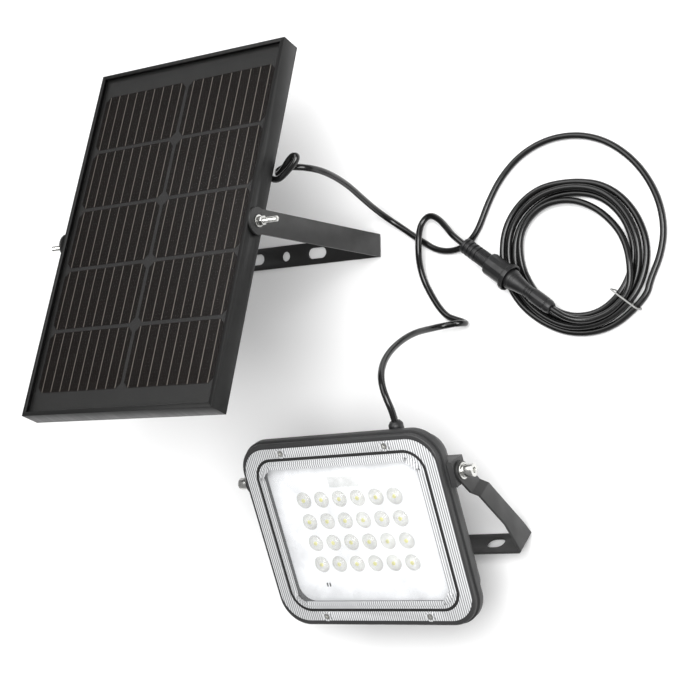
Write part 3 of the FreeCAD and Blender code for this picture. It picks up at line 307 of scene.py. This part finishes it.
def cell_silicon():
    # Coated silicon under glass: nearly black brown with a fine finger grid and crystal clouding.
    material, tree, shader = begin("cell_silicon", Specular_IOR_Level=0.12)
    colour = colours().cell
    fingers = stripes(tree, HEAD.to_3x3() @ Vector((0, 1, 0)), 3.2)
    base = ramp(tree, blotches(tree, 9, 4.0), shade(colour, 0.8), shade(colour, 1.35))
    spread = add(tree, "MapRange", {"Value": fingers, "From Min": 0.86, "From Max": 1.0, "To Max": 0.02})
    tinted = add(tree, "Mix", {"Factor": spread.outputs["Result"], "A": base, "B": linear("#8d8780")},
                 data_type="RGBA")
    tree.links.new(tinted.outputs["Result"], shader.inputs["Base Color"])
    tree.links.new(between(tree, blotches(tree, 5), 0.3, 0.45), shader.inputs["Roughness"])
    return material


def tinned_ribbon():
    # Tinned copper ribbon seen through the coating: dull grey with solder ripples.
    return coated("tinned_ribbon", linear("#6a645e"), 3, 0.5, 0.01, (0.35, 0.5), Metallic=0.4)


def panel_glass():
    # Low-iron glass: clear, with a light stipple that breaks up reflections.
    material, tree, shader = begin("stippled_glass", Base_Color=linear("#0c0c0d"), Alpha=0.06,
                                   Specular_IOR_Level=0.25)
    tree.links.new(between(tree, blotches(tree, 4), 0.12, 0.22), shader.inputs["Roughness"])
    relief(tree, shader, blotches(tree, 1.6, 1.0), 0.02)
    return material


def backing_film():
    # Black polymer film: matte with faint cell print-through.
    return coated("backing_film", linear("#121211"), 18, 1.0, 0.02, (0.5, 0.6))


def cover_window():
    # Clear polycarbonate: barely visible, with the faint haze of a moulded sheet.
    material, tree, shader = begin("clear_cover_window", Base_Color=linear("#f4f6f8"), Alpha=0.07)
    tree.links.new(between(tree, blotches(tree, 12), 0.08, 0.16), shader.inputs["Roughness"])
    relief(tree, shader, blotches(tree, 6, 1.0), 0.03)
    return material


def cover_rim():
    # The same sheet over its moulded ribs: milky grey, with painted shade in each rib's trough drawing fine
    # upright lines.
    material, tree, shader = begin("ribbed_cover_rim", Alpha=0.85, Coat_Weight=0.3)
    ribs_with_trough_shade = stripes(tree, LAMP.to_3x3() @ Vector((1, 0, 0)), sizes().rib_pitch / MM)
    # Base colour: painted shade, dark in the rib troughs and pale on the crests; the same wave drives the bump.
    tree.links.new(ramp(tree, ribs_with_trough_shade, linear("#8b8c8e"), linear("#e6e7e8"), 0.2, 0.75),
                   shader.inputs["Base Color"])
    tree.links.new(between(tree, blotches(tree, 10), 0.2, 0.3), shader.inputs["Roughness"])
    relief(tree, shader, ribs_with_trough_shade, 0.25)
    return material


def white_reflector():
    # White moulded reflector: glossy, very slightly uneven.
    return coated("white_reflector", linear("#e9eaec"), 20, 1.5, 0.015, (0.25, 0.38))


def lens_plastic():
    # Clear moulded lenses: bright surface gloss over a pale, see-through body.
    material, tree, shader = begin("clear_lens", Base_Color=linear("#fbfbf8"), Transmission_Weight=0.8, IOR=1.3)
    tree.links.new(between(tree, blotches(tree, 5), 0.04, 0.1), shader.inputs["Roughness"])
    relief(tree, shader, blotches(tree, 3, 1.0), 0.01)
    return material


def phosphor():
    # Yellow-green phosphor gel, granular.
    return coated("phosphor_gel", linear("#dcd74a"), 1.5, 0.3, 0.02, (0.35, 0.5))


def board_mask(name, code):
    # Solder mask: glossy film over traces.
    return coated(name, linear(code), 6, 1.0, 0.02, (0.25, 0.4))


def shrink_wrap():
    # Shrink wrap round the cells: glossy with soft wrinkles.
    return coated("cell_shrink_wrap", linear("#2b5fa8"), 10, 3.0, 0.06, (0.2, 0.35))


def label_foil():
    # Plain matte label with a brushed grain.
    return coated("plain_label", linear("#d4d5d4"), 6, 0.4, 0.008, (0.4, 0.5))


def studio_floor():
    # Pale seamless paper with a barely visible tooth.
    material, tree, shader = begin("pale_floor", Base_Color=linear("#f4f4f4"), Roughness=0.9)
    relief(tree, shader, blotches(tree, 2.0), 0.02)
    return material


MADE = {}


def finish(maker, *arguments):
    """The material that maker makes, made once."""
    key = (maker.__name__,) + arguments
    if key not in MADE:
        MADE[key] = maker(*arguments)
    return MADE[key]


# ---------------------------------------------------------------- hands-on helpers


def take(obj):
    """Selects only this object and makes it active."""
    bpy.ops.object.select_all(action="DESELECT")
    obj.hide_viewport = False
    obj.select_set(True)
    bpy.context.view_layer.objects.active = obj
    return obj


def settle(obj, place):
    """Moves a piece made at the origin to its place and applies the move."""
    take(obj)
    obj.matrix_world = place @ obj.matrix_world
    bpy.ops.object.transform_apply(location=True, rotation=True, scale=True)
    return obj


def into_edit(obj, mode="FACE"):
    take(obj)
    bpy.ops.object.mode_set(mode="EDIT")
    bpy.ops.mesh.select_mode(type=mode)


def leave_edit():
    bpy.ops.object.mode_set(mode="OBJECT")


def pick(obj, kind, wanted):
    """Goes into edit mode with only the wanted vertices, edges or faces selected."""
    into_edit(obj, kind)
    bpy.ops.mesh.select_all(action="DESELECT")
    leave_edit()
    for part in {"VERT": obj.data.vertices, "EDGE": obj.data.edges, "FACE": obj.data.polygons}[kind]:
        part.select = wanted(part)
    into_edit(obj, kind)


def round_edges(obj, width, segments=2, angle=32):
    """Rounds every edge sharper than angle, applies it and shades the rest smooth."""
    take(obj)
    bevel = obj.modifiers.new("Edges", "BEVEL")
    bevel.width = width
    bevel.segments = segments
    bevel.limit_method = "ANGLE"
    bevel.angle_limit = math.radians(angle)
    bevel.use_clamp_overlap = True
    bpy.ops.object.modifier_apply(modifier=bevel.name)
    bpy.ops.object.shade_smooth_by_angle(angle=math.radians(40))


def softened(node, width, material, name=None, segments=2):
    """A copy of a CAD node with its edges rounded, which stands for the node."""
    source = frame["nodes"][node]
    copy = source.copy()
    copy.data = source.data.copy()
    copy.name = name or node + "_soft"
    copy.parent = None
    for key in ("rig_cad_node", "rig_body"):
        if key in copy:
            del copy[key]
    bpy.context.scene.collection.objects.link(copy)
    into_edit(copy)
    bpy.ops.mesh.select_all(action="SELECT")
    bpy.ops.mesh.remove_doubles(threshold=0.00001)
    bpy.ops.mesh.customdata_custom_splitnormals_clear()
    bpy.ops.mesh.dissolve_limited(angle_limit=math.radians(0.5))
    bpy.ops.mesh.normals_make_consistent(inside=False)
    leave_edit()
    round_edges(copy, width, segments)
    return given(copy, material, source["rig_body"], node)


def given(obj, material, body, *nodes):
    """Gives a finished piece its material and its body, and the nodes it stands for."""
    obj.data.materials.clear()
    obj.data.materials.append(material)
    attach(obj, body)
    if nodes:
        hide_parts(*nodes)
    return obj


def carried(material, *nodes):
    """A CAD node that stays as it is gets its finish."""
    for node in nodes:
        obj = frame["nodes"][node]
        obj.data.materials.clear()
        obj.data.materials.append(material)


def lathe(name, profile, sides=48, closed=False):
    """Turns (radius, height) points, in millimetres, about Z, by extruding and scaling a circle."""
    bpy.ops.object.select_all(action="DESELECT")
    radius, height = profile[0]
    bpy.ops.mesh.primitive_circle_add(vertices=sides, radius=radius * MM, location=(0, 0, height * MM))
    obj = bpy.context.object
    obj.name = name
    bpy.ops.object.transform_apply(location=True, rotation=True, scale=True)
    into_edit(obj, "EDGE")
    bpy.ops.mesh.select_all(action="SELECT")
    for next_radius, next_height in profile[1:] + (profile[:1] if closed else []):
        bpy.ops.mesh.extrude_region_move(
            TRANSFORM_OT_translate={"value": (0, 0, (next_height - height) * MM)})
        k = next_radius / radius
        bpy.ops.transform.resize(value=(k, k, 1), center_override=(0, 0, next_height * MM))
        radius, height = next_radius, next_height
    bpy.ops.mesh.select_all(action="SELECT")
    if closed:
        bpy.ops.mesh.remove_doubles(threshold=0.000001)
    else:
        bpy.ops.mesh.fill_holes(sides=0)
    bpy.ops.mesh.select_all(action="SELECT")
    bpy.ops.mesh.normals_make_consistent(inside=False)
    leave_edit()
    return obj


def slab(name, size, middle):
    """A box of this size in millimetres, about its middle, with a clean unit scale."""
    bpy.ops.object.select_all(action="DESELECT")
    bpy.ops.mesh.primitive_cube_add(size=1, location=[c * MM for c in middle], scale=[c * MM for c in size])
    obj = bpy.context.object
    obj.name = name
    bpy.ops.object.transform_apply(location=True, rotation=True, scale=True)
    return obj


def repeated(obj, moves):
    """Copies a piece by each move, in millimetres, and joins all of them into it."""
    copies = []
    for move in moves:
        copy = obj.copy()
        copy.data = obj.data.copy()
        bpy.context.scene.collection.objects.link(copy)
        copy.matrix_world = Matrix.Translation(Vector(move) * MM) @ obj.matrix_world
        copies.append(copy)
    take(copies[0])
    for copy in copies:
        copy.select_set(True)
    name = obj.name
    bpy.data.objects.remove(obj)
    bpy.ops.object.join()
    joined = bpy.context.object
    joined.name = name
    bpy.ops.object.transform_apply(location=True, rotation=True, scale=True)
    return joined


def both_sides(obj):
    """Adds the same piece turned half a turn about Z, for the other arm."""
    other = obj.copy()
    other.data = obj.data.copy()
    bpy.context.scene.collection.objects.link(other)
    other.matrix_world = Matrix.Rotation(math.pi, 4, "Z") @ obj.matrix_world
    take(other)
    bpy.ops.object.transform_apply(location=True, rotation=True, scale=True)
    take(obj)
    other.select_set(True)
    bpy.ops.object.join()
    return bpy.context.object


# ---------------------------------------------------------------- operators


class FLOOD_OT_stage(bpy.types.Operator):
    """Floor, soft light and camera"""
    bl_idname = "flood.stage"
    bl_label = "Stage"

    def execute(self, context):
        bpy.ops.object.select_all(action="DESELECT")
        bpy.ops.mesh.primitive_plane_add(size=14, location=(0, 0, -0.0003))
        floor = bpy.context.object
        floor.name = "floor"
        floor.data.materials.append(finish(studio_floor))
        self.light("key", (0.95, -0.1, 1.6), 1.2, 40)
        self.light("fill", (-0.3, 1.0, 1.8), 1.8, 28)
        world = bpy.data.worlds.new("studio")
        world.use_nodes = True
        world.node_tree.nodes["Background"].inputs["Color"].default_value = (1, 1, 1, 1)
        world.node_tree.nodes["Background"].inputs["Strength"].default_value = 0.34
        bpy.context.scene.world = world
        bpy.context.scene.view_settings.view_transform = "Standard"
        self.camera()
        return {"FINISHED"}

    def light(self, name, spot, size, power):
        bpy.ops.object.light_add(type="AREA", location=spot)
        lamp = bpy.context.object
        lamp.name = name
        lamp.data.size = size
        lamp.data.energy = power
        lamp.rotation_euler = (Vector((0.15, -0.1, 0.05)) - Vector(spot)).to_track_quat("-Z", "Y").to_euler()

    def camera(self):
        data = bpy.data.cameras.new("camera")
        data.lens = 77.14
        data.sensor_width = 36
        camera = bpy.data.objects.new("camera", data)
        bpy.context.scene.collection.objects.link(camera)
        right, up, back = (0.8222, -0.0179, -0.5686), (0.0590, 0.9968, 0.0534), (0.5661, -0.0774, 0.8209)
        turn = Matrix((right, up, back)).transposed().to_4x4()
        camera.matrix_world = Matrix.Translation((0.9008, -0.2115, 1.1979)) @ turn
        bpy.context.scene.camera = camera


class FLOOD_OT_panel_frame(bpy.types.Operator):
    """The four mitred rails of the panel's frame"""
    bl_idname = "flood.panel_frame"
    bl_label = "Panel frame"

    def execute(self, context):
        for side in ("left", "right", "low", "high"):
            softened("frame_rail_" + side, 0.00045, finish(anodised_aluminium))
        carried(finish(anodised_aluminium), "frame_corner_keys")
        return {"FINISHED"}


class FLOOD_OT_solar_cells(bpy.types.Operator):
    """Ten cells with chamfered corners, their busbars and the glass and film round them"""
    bl_idname = "flood.solar_cells"
    bl_label = "Solar cells"

    def execute(self, context):
        spots = [(x, FIRST_ROW + row * ROW_PITCH, 0)
                 for row in range(CELL_ROWS) for x in (-CELL_COLUMN, CELL_COLUMN)]
        cell = slab("cells", (CELL_WIDE, CELL_LONG, 0.2), (0, 0, 5.1))
        points = cell.data.vertices
        pick(cell, "EDGE", lambda e: abs(points[e.vertices[0]].co.z - points[e.vertices[1]].co.z) > 0.0001)
        bpy.ops.mesh.bevel(offset=0.005, segments=1, affect="EDGES")
        leave_edit()
        cells = settle(repeated(cell, spots), HEAD)
        given(cells, finish(cell_silicon), "panel_head", "solar_cells")
        self.busbars(spots)
        carried(finish(panel_glass), "panel_glass")
        carried(finish(backing_film), "panel_backsheet")
        return {"FINISHED"}

    def busbars(self, spots):
        count = sizes().busbar_count
        pitch = CELL_WIDE / count
        wide = sizes().busbar_width / MM
        wire = slab("busbar", (wide, CELL_LONG - 1, 0.05), (0, 0, 5.225))
        moves = [(x + (n - (count - 1) / 2) * pitch, y, 0) for x, y, _ in spots for n in range(count)]
        wires = settle(repeated(wire, moves), HEAD)
        given(wires, finish(tinned_ribbon), "panel_head")
        ribbon = slab("cross_ribbon", (CELL_WIDE - 3, 1.2, 0.05), (0, 0, 5.1))
        ends = [(x, FIRST_ROW + (row + 0.5) * ROW_PITCH, 0)
                for x in (-CELL_COLUMN, CELL_COLUMN) for row in range(CELL_ROWS - 1)]
        ribbons = settle(repeated(ribbon, ends), HEAD)
        given(ribbons, finish(backing_film), "panel_head")


class FLOOD_OT_junction_box(bpy.types.Operator):
    """The box behind the panel, its lid and its cable gland"""
    bl_idname = "flood.junction_box"
    bl_label = "Junction box"

    def execute(self, context):
        for node, width in (("junction_box", 0.0012), ("junction_box_lid", 0.0009),
                            ("junction_gland_base", 0.0006), ("junction_gland_nut", 0.0006)):
            softened(node, width, finish(black_nylon))
        return {"FINISHED"}


class FLOOD_OT_brackets(bpy.types.Operator):
    """The panel's and the lamp's bent steel brackets"""
    bl_idname = "flood.brackets"
    bl_label = "Brackets"

    def execute(self, context):
        softened("panel_bracket", sizes().edge_round, finish(bracket_coat))
        softened("lamp_bracket", sizes().edge_round, finish(bracket_coat))
        return {"FINISHED"}


class FLOOD_OT_panel_pivots(bpy.types.Operator):
    """Threaded studs, nuts, washers and rivet nuts of the panel's pivot"""
    bl_idname = "flood.panel_pivots"
    bl_label = "Panel pivots"

    def execute(self, context):
        along = Matrix.Rotation(math.radians(90), 4, "Y")
        turns = [(2.45 if n % 2 else 2.1, 112 + n * 0.4) for n in range(56)]
        stud = lathe("pivot_stud", [(2.1, 99)] + turns + [(1.7, 134.8)], 24)
        bpy.ops.object.shade_smooth_by_angle(angle=math.radians(50))
        settle(stud, along)
        given(settle(both_sides(stud), HEAD), finish(zinc_plate), "panel_head", "panel_pivot_studs")
        nut = lathe("pivot_nut", [(2.5, 115.15), (3.9, 115.15), (4.6, 115.6), (4.6, 119.7), (3.9, 120.2),
                                  (2.5, 120.2)], 6, closed=True)
        round_edges(nut, 0.00025, 2, 20)
        settle(nut, along)
        given(settle(both_sides(nut), HEAD), finish(zinc_plate), "panel_head", "panel_pivot_nuts")
        washer = lathe("pivot_washer", [(2.5, 114.1), (5.5, 114.1), (5.5, 115.05), (2.5, 115.05)], 48, closed=True)
        round_edges(washer, 0.0002)
        settle(washer, along)
        given(settle(both_sides(washer), HEAD), finish(zinc_plate), "panel_head", "panel_pivot_washers")
        softened("pivot_rivet_nuts", 0.0002, finish(zinc_plate))
        return {"FINISHED"}


class FLOOD_OT_lamp_casing(bpy.types.Operator):
    """Die-cast housing, bezel and the cable gland at the back"""
    bl_idname = "flood.lamp_casing"
    bl_label = "Lamp casing"

    def execute(self, context):
        softened("lamp_housing", 0.0012, finish(casing_coat), segments=3)
        softened("lamp_bezel", 0.001, finish(casing_coat), segments=3)
        softened("lamp_gland_base", 0.0006, finish(black_nylon))
        softened("lamp_gland_nut", 0.0006, finish(black_nylon))
        return {"FINISHED"}


class FLOOD_OT_lamp_cover(bpy.types.Operator):
    """Clear cover with a ribbed rim, its gasket and screws"""
    bl_idname = "flood.lamp_cover"
    bl_label = "Lamp cover"

    def execute(self, context):
        cover = softened("lamp_cover", 0.0005, finish(cover_rim))
        cover.data.materials.append(finish(cover_window))
        inwards = LAMP.inverted()
        upright = LAMP.to_3x3() @ Vector((0, 0, 1))
        pick(cover, "FACE", lambda f: f.normal.dot(upright) > 0.9 and self.on_window(inwards @ f.center))
        bpy.ops.mesh.inset(thickness=0.0045, depth=-0.0003, use_even_offset=False)
        leave_edit()
        for face in cover.data.polygons:
            face.material_index = int(face.select or face.normal.dot(upright) < -0.9)
        gasket = softened("cover_gasket", 0.0004, finish(silicon_rubber))
        pick(gasket, "VERT", lambda v: (inwards @ v.co).z > -0.0055)
        bpy.ops.transform.translate(value=upright * 0.00315)
        leave_edit()
        softened("cover_screws", 0.00025, finish(zinc_plate))
        return {"FINISHED"}

    def on_window(self, spot):
        return abs(spot.x) < 0.0845 and abs(spot.y) < 0.0685 and spot.z > -0.0002


class FLOOD_OT_light_source(bpy.types.Operator):
    """Reflector, 24 lens domes, the LEDs under them and a plain label"""
    bl_idname = "flood.light_source"
    bl_label = "Light source"

    def execute(self, context):
        bpy.ops.object.select_all(action="DESELECT")
        drop = math.sqrt(LENS_SPHERE ** 2 - LENS_OPENING ** 2)
        bpy.ops.mesh.primitive_uv_sphere_add(segments=40, ring_count=24, radius=LENS_SPHERE * MM,
                                             location=(0, 0, (LENS_BASE - drop) * MM))
        dome = bpy.context.object
        dome.name = "lens_dome"
        bpy.ops.object.transform_apply(location=True, rotation=True, scale=True)
        into_edit(dome)
        bpy.ops.mesh.select_all(action="SELECT")
        bpy.ops.mesh.bisect(plane_co=(0, 0, LENS_BASE * MM), plane_no=(0, 0, 1), use_fill=True, clear_inner=True)
        leave_edit()
        bpy.ops.object.shade_smooth_by_angle(angle=math.radians(50))
        across, along = LED_PITCH
        spots = [(LED_MIDDLE[0] + (column - 2.5) * across, LED_MIDDLE[1] + (row - 1.5) * along, 0)
                 for row in range(LED_ROWS) for column in range(LED_COLUMNS)]
        domes = settle(repeated(dome, spots), LAMP)
        given(domes, finish(lens_plastic), "lamp_head", "lens_domes")
        pad = lathe("led_pad", [(3.2, -12.6), (3.9, -12.4), (3.9, -9.9), (3.4, -9.6)], 32)
        bpy.ops.object.shade_smooth_by_angle(angle=math.radians(40))
        given(settle(repeated(pad, spots), LAMP), finish(white_reflector), "lamp_head")
        chip = lathe("led_dot", [(1.5, -9.7), (1.7, -9.4), (1.5, -9.0), (0.9, -8.8)], 24)
        bpy.ops.object.shade_smooth_by_angle(angle=math.radians(60))
        dots = settle(repeated(chip, spots), LAMP)
        given(dots, finish(phosphor), "lamp_head", "led_chips")
        label = slab("plain_label", (31, 10, 0.3), (-4, 46.5, -9.3))
        round_edges(label, 0.0001)
        given(settle(label, LAMP), finish(label_foil), "lamp_head")
        softened("reflector_plate", 0.0003, finish(white_reflector))
        softened("remote_receiver", 0.0001, finish(black_nylon))
        return {"FINISHED"}


class FLOOD_OT_lamp_pivots(bpy.types.Operator):
    """Socket head bolts with their spring and flat washers"""
    bl_idname = "flood.lamp_pivots"
    bl_label = "Lamp pivots"

    def execute(self, context):
        for node, width in (("lamp_pivot_bolts", 0.0004), ("lamp_flat_washers", 0.0002),
                            ("lamp_spring_washers", 0.0002)):
            softened(node, width, finish(zinc_plate))
        return {"FINISHED"}


class FLOOD_OT_connector(bpy.types.Operator):
    """Screwed connector: ribbed boot, plug, coupling nut and socket"""
    bl_idname = "flood.connector"
    bl_label = "Connector"

    def execute(self, context):
        nylon = finish(black_nylon)
        boot = [(3.3, 0), (5.4, 0), (6.4, 0.7)]
        for n in range(4):
            start = 1 + n * 4.6
            boot += [(7.4, start), (7.5, start + 2.7), (6.1, start + 3), (6.1, start + 4.3)]
        for n in range(7):
            start = 19.6 + n * 1.6
            boot += [(7.45, start), (7.45, start + 0.8), (6.9, start + 1), (6.9, start + 1.4)]
        given(settle(self.turned("boot_ribs", boot + [(6.9, 30.9), (3.3, 30.9)]), PLUG), nylon,
              "stand", "plug_boot")
        softened("plug_body", 0.0004, nylon)
        nut = lathe("nut_facets", [(8.2, 32), (9.9, 32), (10.6, 33), (10.6, 53), (13, 54), (13, 58),
                                   (11, 58), (11, 55), (8.2, 55)], 14, closed=True)
        round_edges(nut, 0.0005, 3, 18)
        given(settle(nut, PLUG), nylon, "nut", "coupling_nut")
        socket = [(3.3, 56.8), (9.6, 56.8), (9.6, 60.6), (9.3, 61.6), (8.7, 62), (8.5, 64.5), (8, 65),
                  (5.9, 76.5), (5.9, 78), (5.1, 78.3), (5.1, 79.3), (5.9, 79.6), (5.9, 81.4), (5.1, 81.7),
                  (5.1, 82.7), (5.9, 83), (5.9, 84.9), (3.3, 84.9)]
        given(settle(self.turned("socket_cone", socket), PLUG), nylon, "stand", "socket_body")
        tail = lathe("tail_flats", [(3.1, 85), (6, 85), (6.7, 85.8), (6.7, 101), (6.1, 101.4), (6.1, 102.3),
                                    (6.6, 102.6), (6.3, 105.5), (5.2, 108.2), (3.1, 108.2)], 16)
        round_edges(tail, 0.0003, 2, 18)
        given(settle(tail, PLUG), nylon, "stand", "socket_tail")
        softened("connector_seal", 0.0001, finish(silicon_rubber))
        carried(finish(brass), "contact_pins")
        return {"FINISHED"}

    def turned(self, name, profile):
        obj = lathe(name, profile, 56)
        round_edges(obj, 0.00025, 2, 30)
        return obj


class FLOOD_OT_cords(bpy.types.Operator):
    """The panel's cord with its tied coil, and the lamp's lead"""
    bl_idname = "flood.cords"
    bl_label = "Cords"

    def execute(self, context):
        self.tie()
        self.tube("panel_cord", PANEL_DROP + PANEL_RUN + self.coil() + PANEL_TAIL, "panel_head",
                  PANEL_DROP[1], PANEL_DROP[-1], 2.3,
                  ["socket_cone", "tail_flats", "contact_pins", "connector_seal_soft", "tie_band"],
                  ["panel_cord_drop", "panel_cord_run", "panel_cord_coil", "panel_cord_tail"], "coiled")
        self.tube("lamp_lead", LAMP_LEAD, "lamp_head", LAMP_LEAD[1], (184, -87.5, 31), 0.38,
                  ["boot_ribs", "plug_body_soft", "nut_facets"],
                  ["lamp_lead_drop", "lamp_lead_run"], "loose")
        return {"FINISHED"}

    def tie(self):
        """A band round the turns, opened at its sides and given its thickness."""
        band = slab("tie_band", (31.5, 1.3, 13.6), (65.2, 0, 6.9))
        points = band.data.vertices
        pick(band, "EDGE", lambda e: abs(points[e.vertices[0]].co.y - points[e.vertices[1]].co.y) > 0.001)
        bpy.ops.mesh.bevel(offset=0.003, segments=4, affect="EDGES")
        leave_edit()
        pick(band, "FACE", lambda f: abs(f.normal.y) > 0.9)
        bpy.ops.mesh.delete(type="FACE")
        leave_edit()
        shell = band.modifiers.new("Thickness", "SOLIDIFY")
        shell.thickness = 0.0006
        bpy.ops.object.modifier_apply(modifier=shell.name)
        bpy.ops.object.shade_smooth_by_angle(angle=math.radians(40))
        place = (Matrix.Translation(Vector((*COIL_CENTRE, 0)) * MM)
                 @ Matrix.Rotation(math.radians(-38.3), 4, "Z"))
        given(settle(band, place), finish(tie_wire), "stand", "coil_tie")

    def coil(self):
        spots = []
        for height, reach in COIL_TURNS:
            for n, radius in enumerate(reach):
                low = 3 if n in (4, 5) else height
                spots.append((-30 - 30 * n, radius, low))
        return [(COIL_CENTRE[0] + 1.02 * radius * math.cos(math.radians(angle)),
                 COIL_CENTRE[1] + 1.02 * radius * math.sin(math.radians(angle)), height)
                for angle, radius, height in spots + COIL_LAST]

    def tube(self, name, route, head, start, end, length, pieces, nodes, lay):
        curve = bpy.data.curves.new(name, "CURVE")
        curve.dimensions = "3D"
        spline = curve.splines.new("NURBS")
        spline.points.add(len(route) - 1)
        for point, spot in zip(spline.points, route):
            point.co = (*(c * MM for c in spot), 1)
        spline.order_u = 3
        spline.use_endpoint_u = True
        curve.resolution_u = 10
        line = bpy.data.objects.new(name, curve)
        bpy.context.scene.collection.objects.link(line)
        bpy.context.view_layer.update()
        bare = bpy.data.meshes.new_from_object(line)
        bpy.data.meshes.remove(bare)
        curve.bevel_depth = sizes().cord_diameter / 2
        curve.bevel_resolution = 5
        curve.use_fill_caps = True
        take(line)
        bpy.ops.object.convert(target="MESH")
        tube = bpy.context.object
        into_edit(tube)
        bpy.ops.mesh.select_all(action="SELECT")
        bpy.ops.mesh.remove_doubles(threshold=0.000001)
        bpy.ops.mesh.normals_make_consistent(inside=False)
        leave_edit()
        bpy.ops.object.shade_smooth_by_angle(angle=math.radians(50))
        tube.data.materials.clear()
        tube.data.materials.append(finish(cord_rubber))
        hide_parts(*nodes)
        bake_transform(tube)


class FLOOD_OT_inner_parts(bpy.types.Operator):
    """Finishes for the battery, boards and inserts that the casing hides"""
    bl_idname = "flood.inner_parts"
    bl_label = "Inner parts"

    def execute(self, context):
        carried(finish(board_mask, "white_solder_mask", "#dcdedf"), "led_board")
        carried(finish(board_mask, "green_solder_mask", "#1c6b3a"), "control_board")
        carried(finish(shrink_wrap), "battery_cells")
        carried(finish(black_nylon), "battery_holder")
        carried(finish(brass), "lug_inserts")
        return {"FINISHED"}


OPERATORS = (
    FLOOD_OT_stage, FLOOD_OT_panel_frame, FLOOD_OT_solar_cells, FLOOD_OT_junction_box, FLOOD_OT_brackets,
    FLOOD_OT_panel_pivots, FLOOD_OT_lamp_casing, FLOOD_OT_lamp_cover, FLOOD_OT_light_source,
    FLOOD_OT_lamp_pivots, FLOOD_OT_connector, FLOOD_OT_cords, FLOOD_OT_inner_parts,
)


class FLOOD_PT_panel(bpy.types.Panel):
    """Lists the pieces of the flood light"""
    bl_idname = "FLOOD_PT_panel"
    bl_label = "Flood Light"
    bl_space_type = "VIEW_3D"
    bl_region_type = "UI"
    bl_category = "Flood Light"

    def draw(self, context):
        column = self.layout.column()
        for group in (context.scene.flood_light_sizes, context.scene.flood_light_colours):
            for name in group.bl_rna.properties.keys():
                if name not in ("rna_type", "name"):
                    column.prop(group, name)
        for operator in OPERATORS:
            column.operator(operator.bl_idname)


CLASSES = (FloodLightSizes, FloodLightColours) + OPERATORS + (FLOOD_PT_panel,)


def register():
    for cls in CLASSES:
        bpy.utils.register_class(cls)
    bpy.types.Scene.flood_light_sizes = PointerProperty(type=FloodLightSizes)
    bpy.types.Scene.flood_light_colours = PointerProperty(type=FloodLightColours)


def unregister():
    del bpy.types.Scene.flood_light_colours
    del bpy.types.Scene.flood_light_sizes
    for cls in reversed(CLASSES):
        bpy.utils.unregister_class(cls)


def main():
    register()
    for operator in OPERATORS:
        group, name = operator.bl_idname.split(".")
        getattr(getattr(bpy.ops, group), name)()


if __name__ == "__main__":
    main()
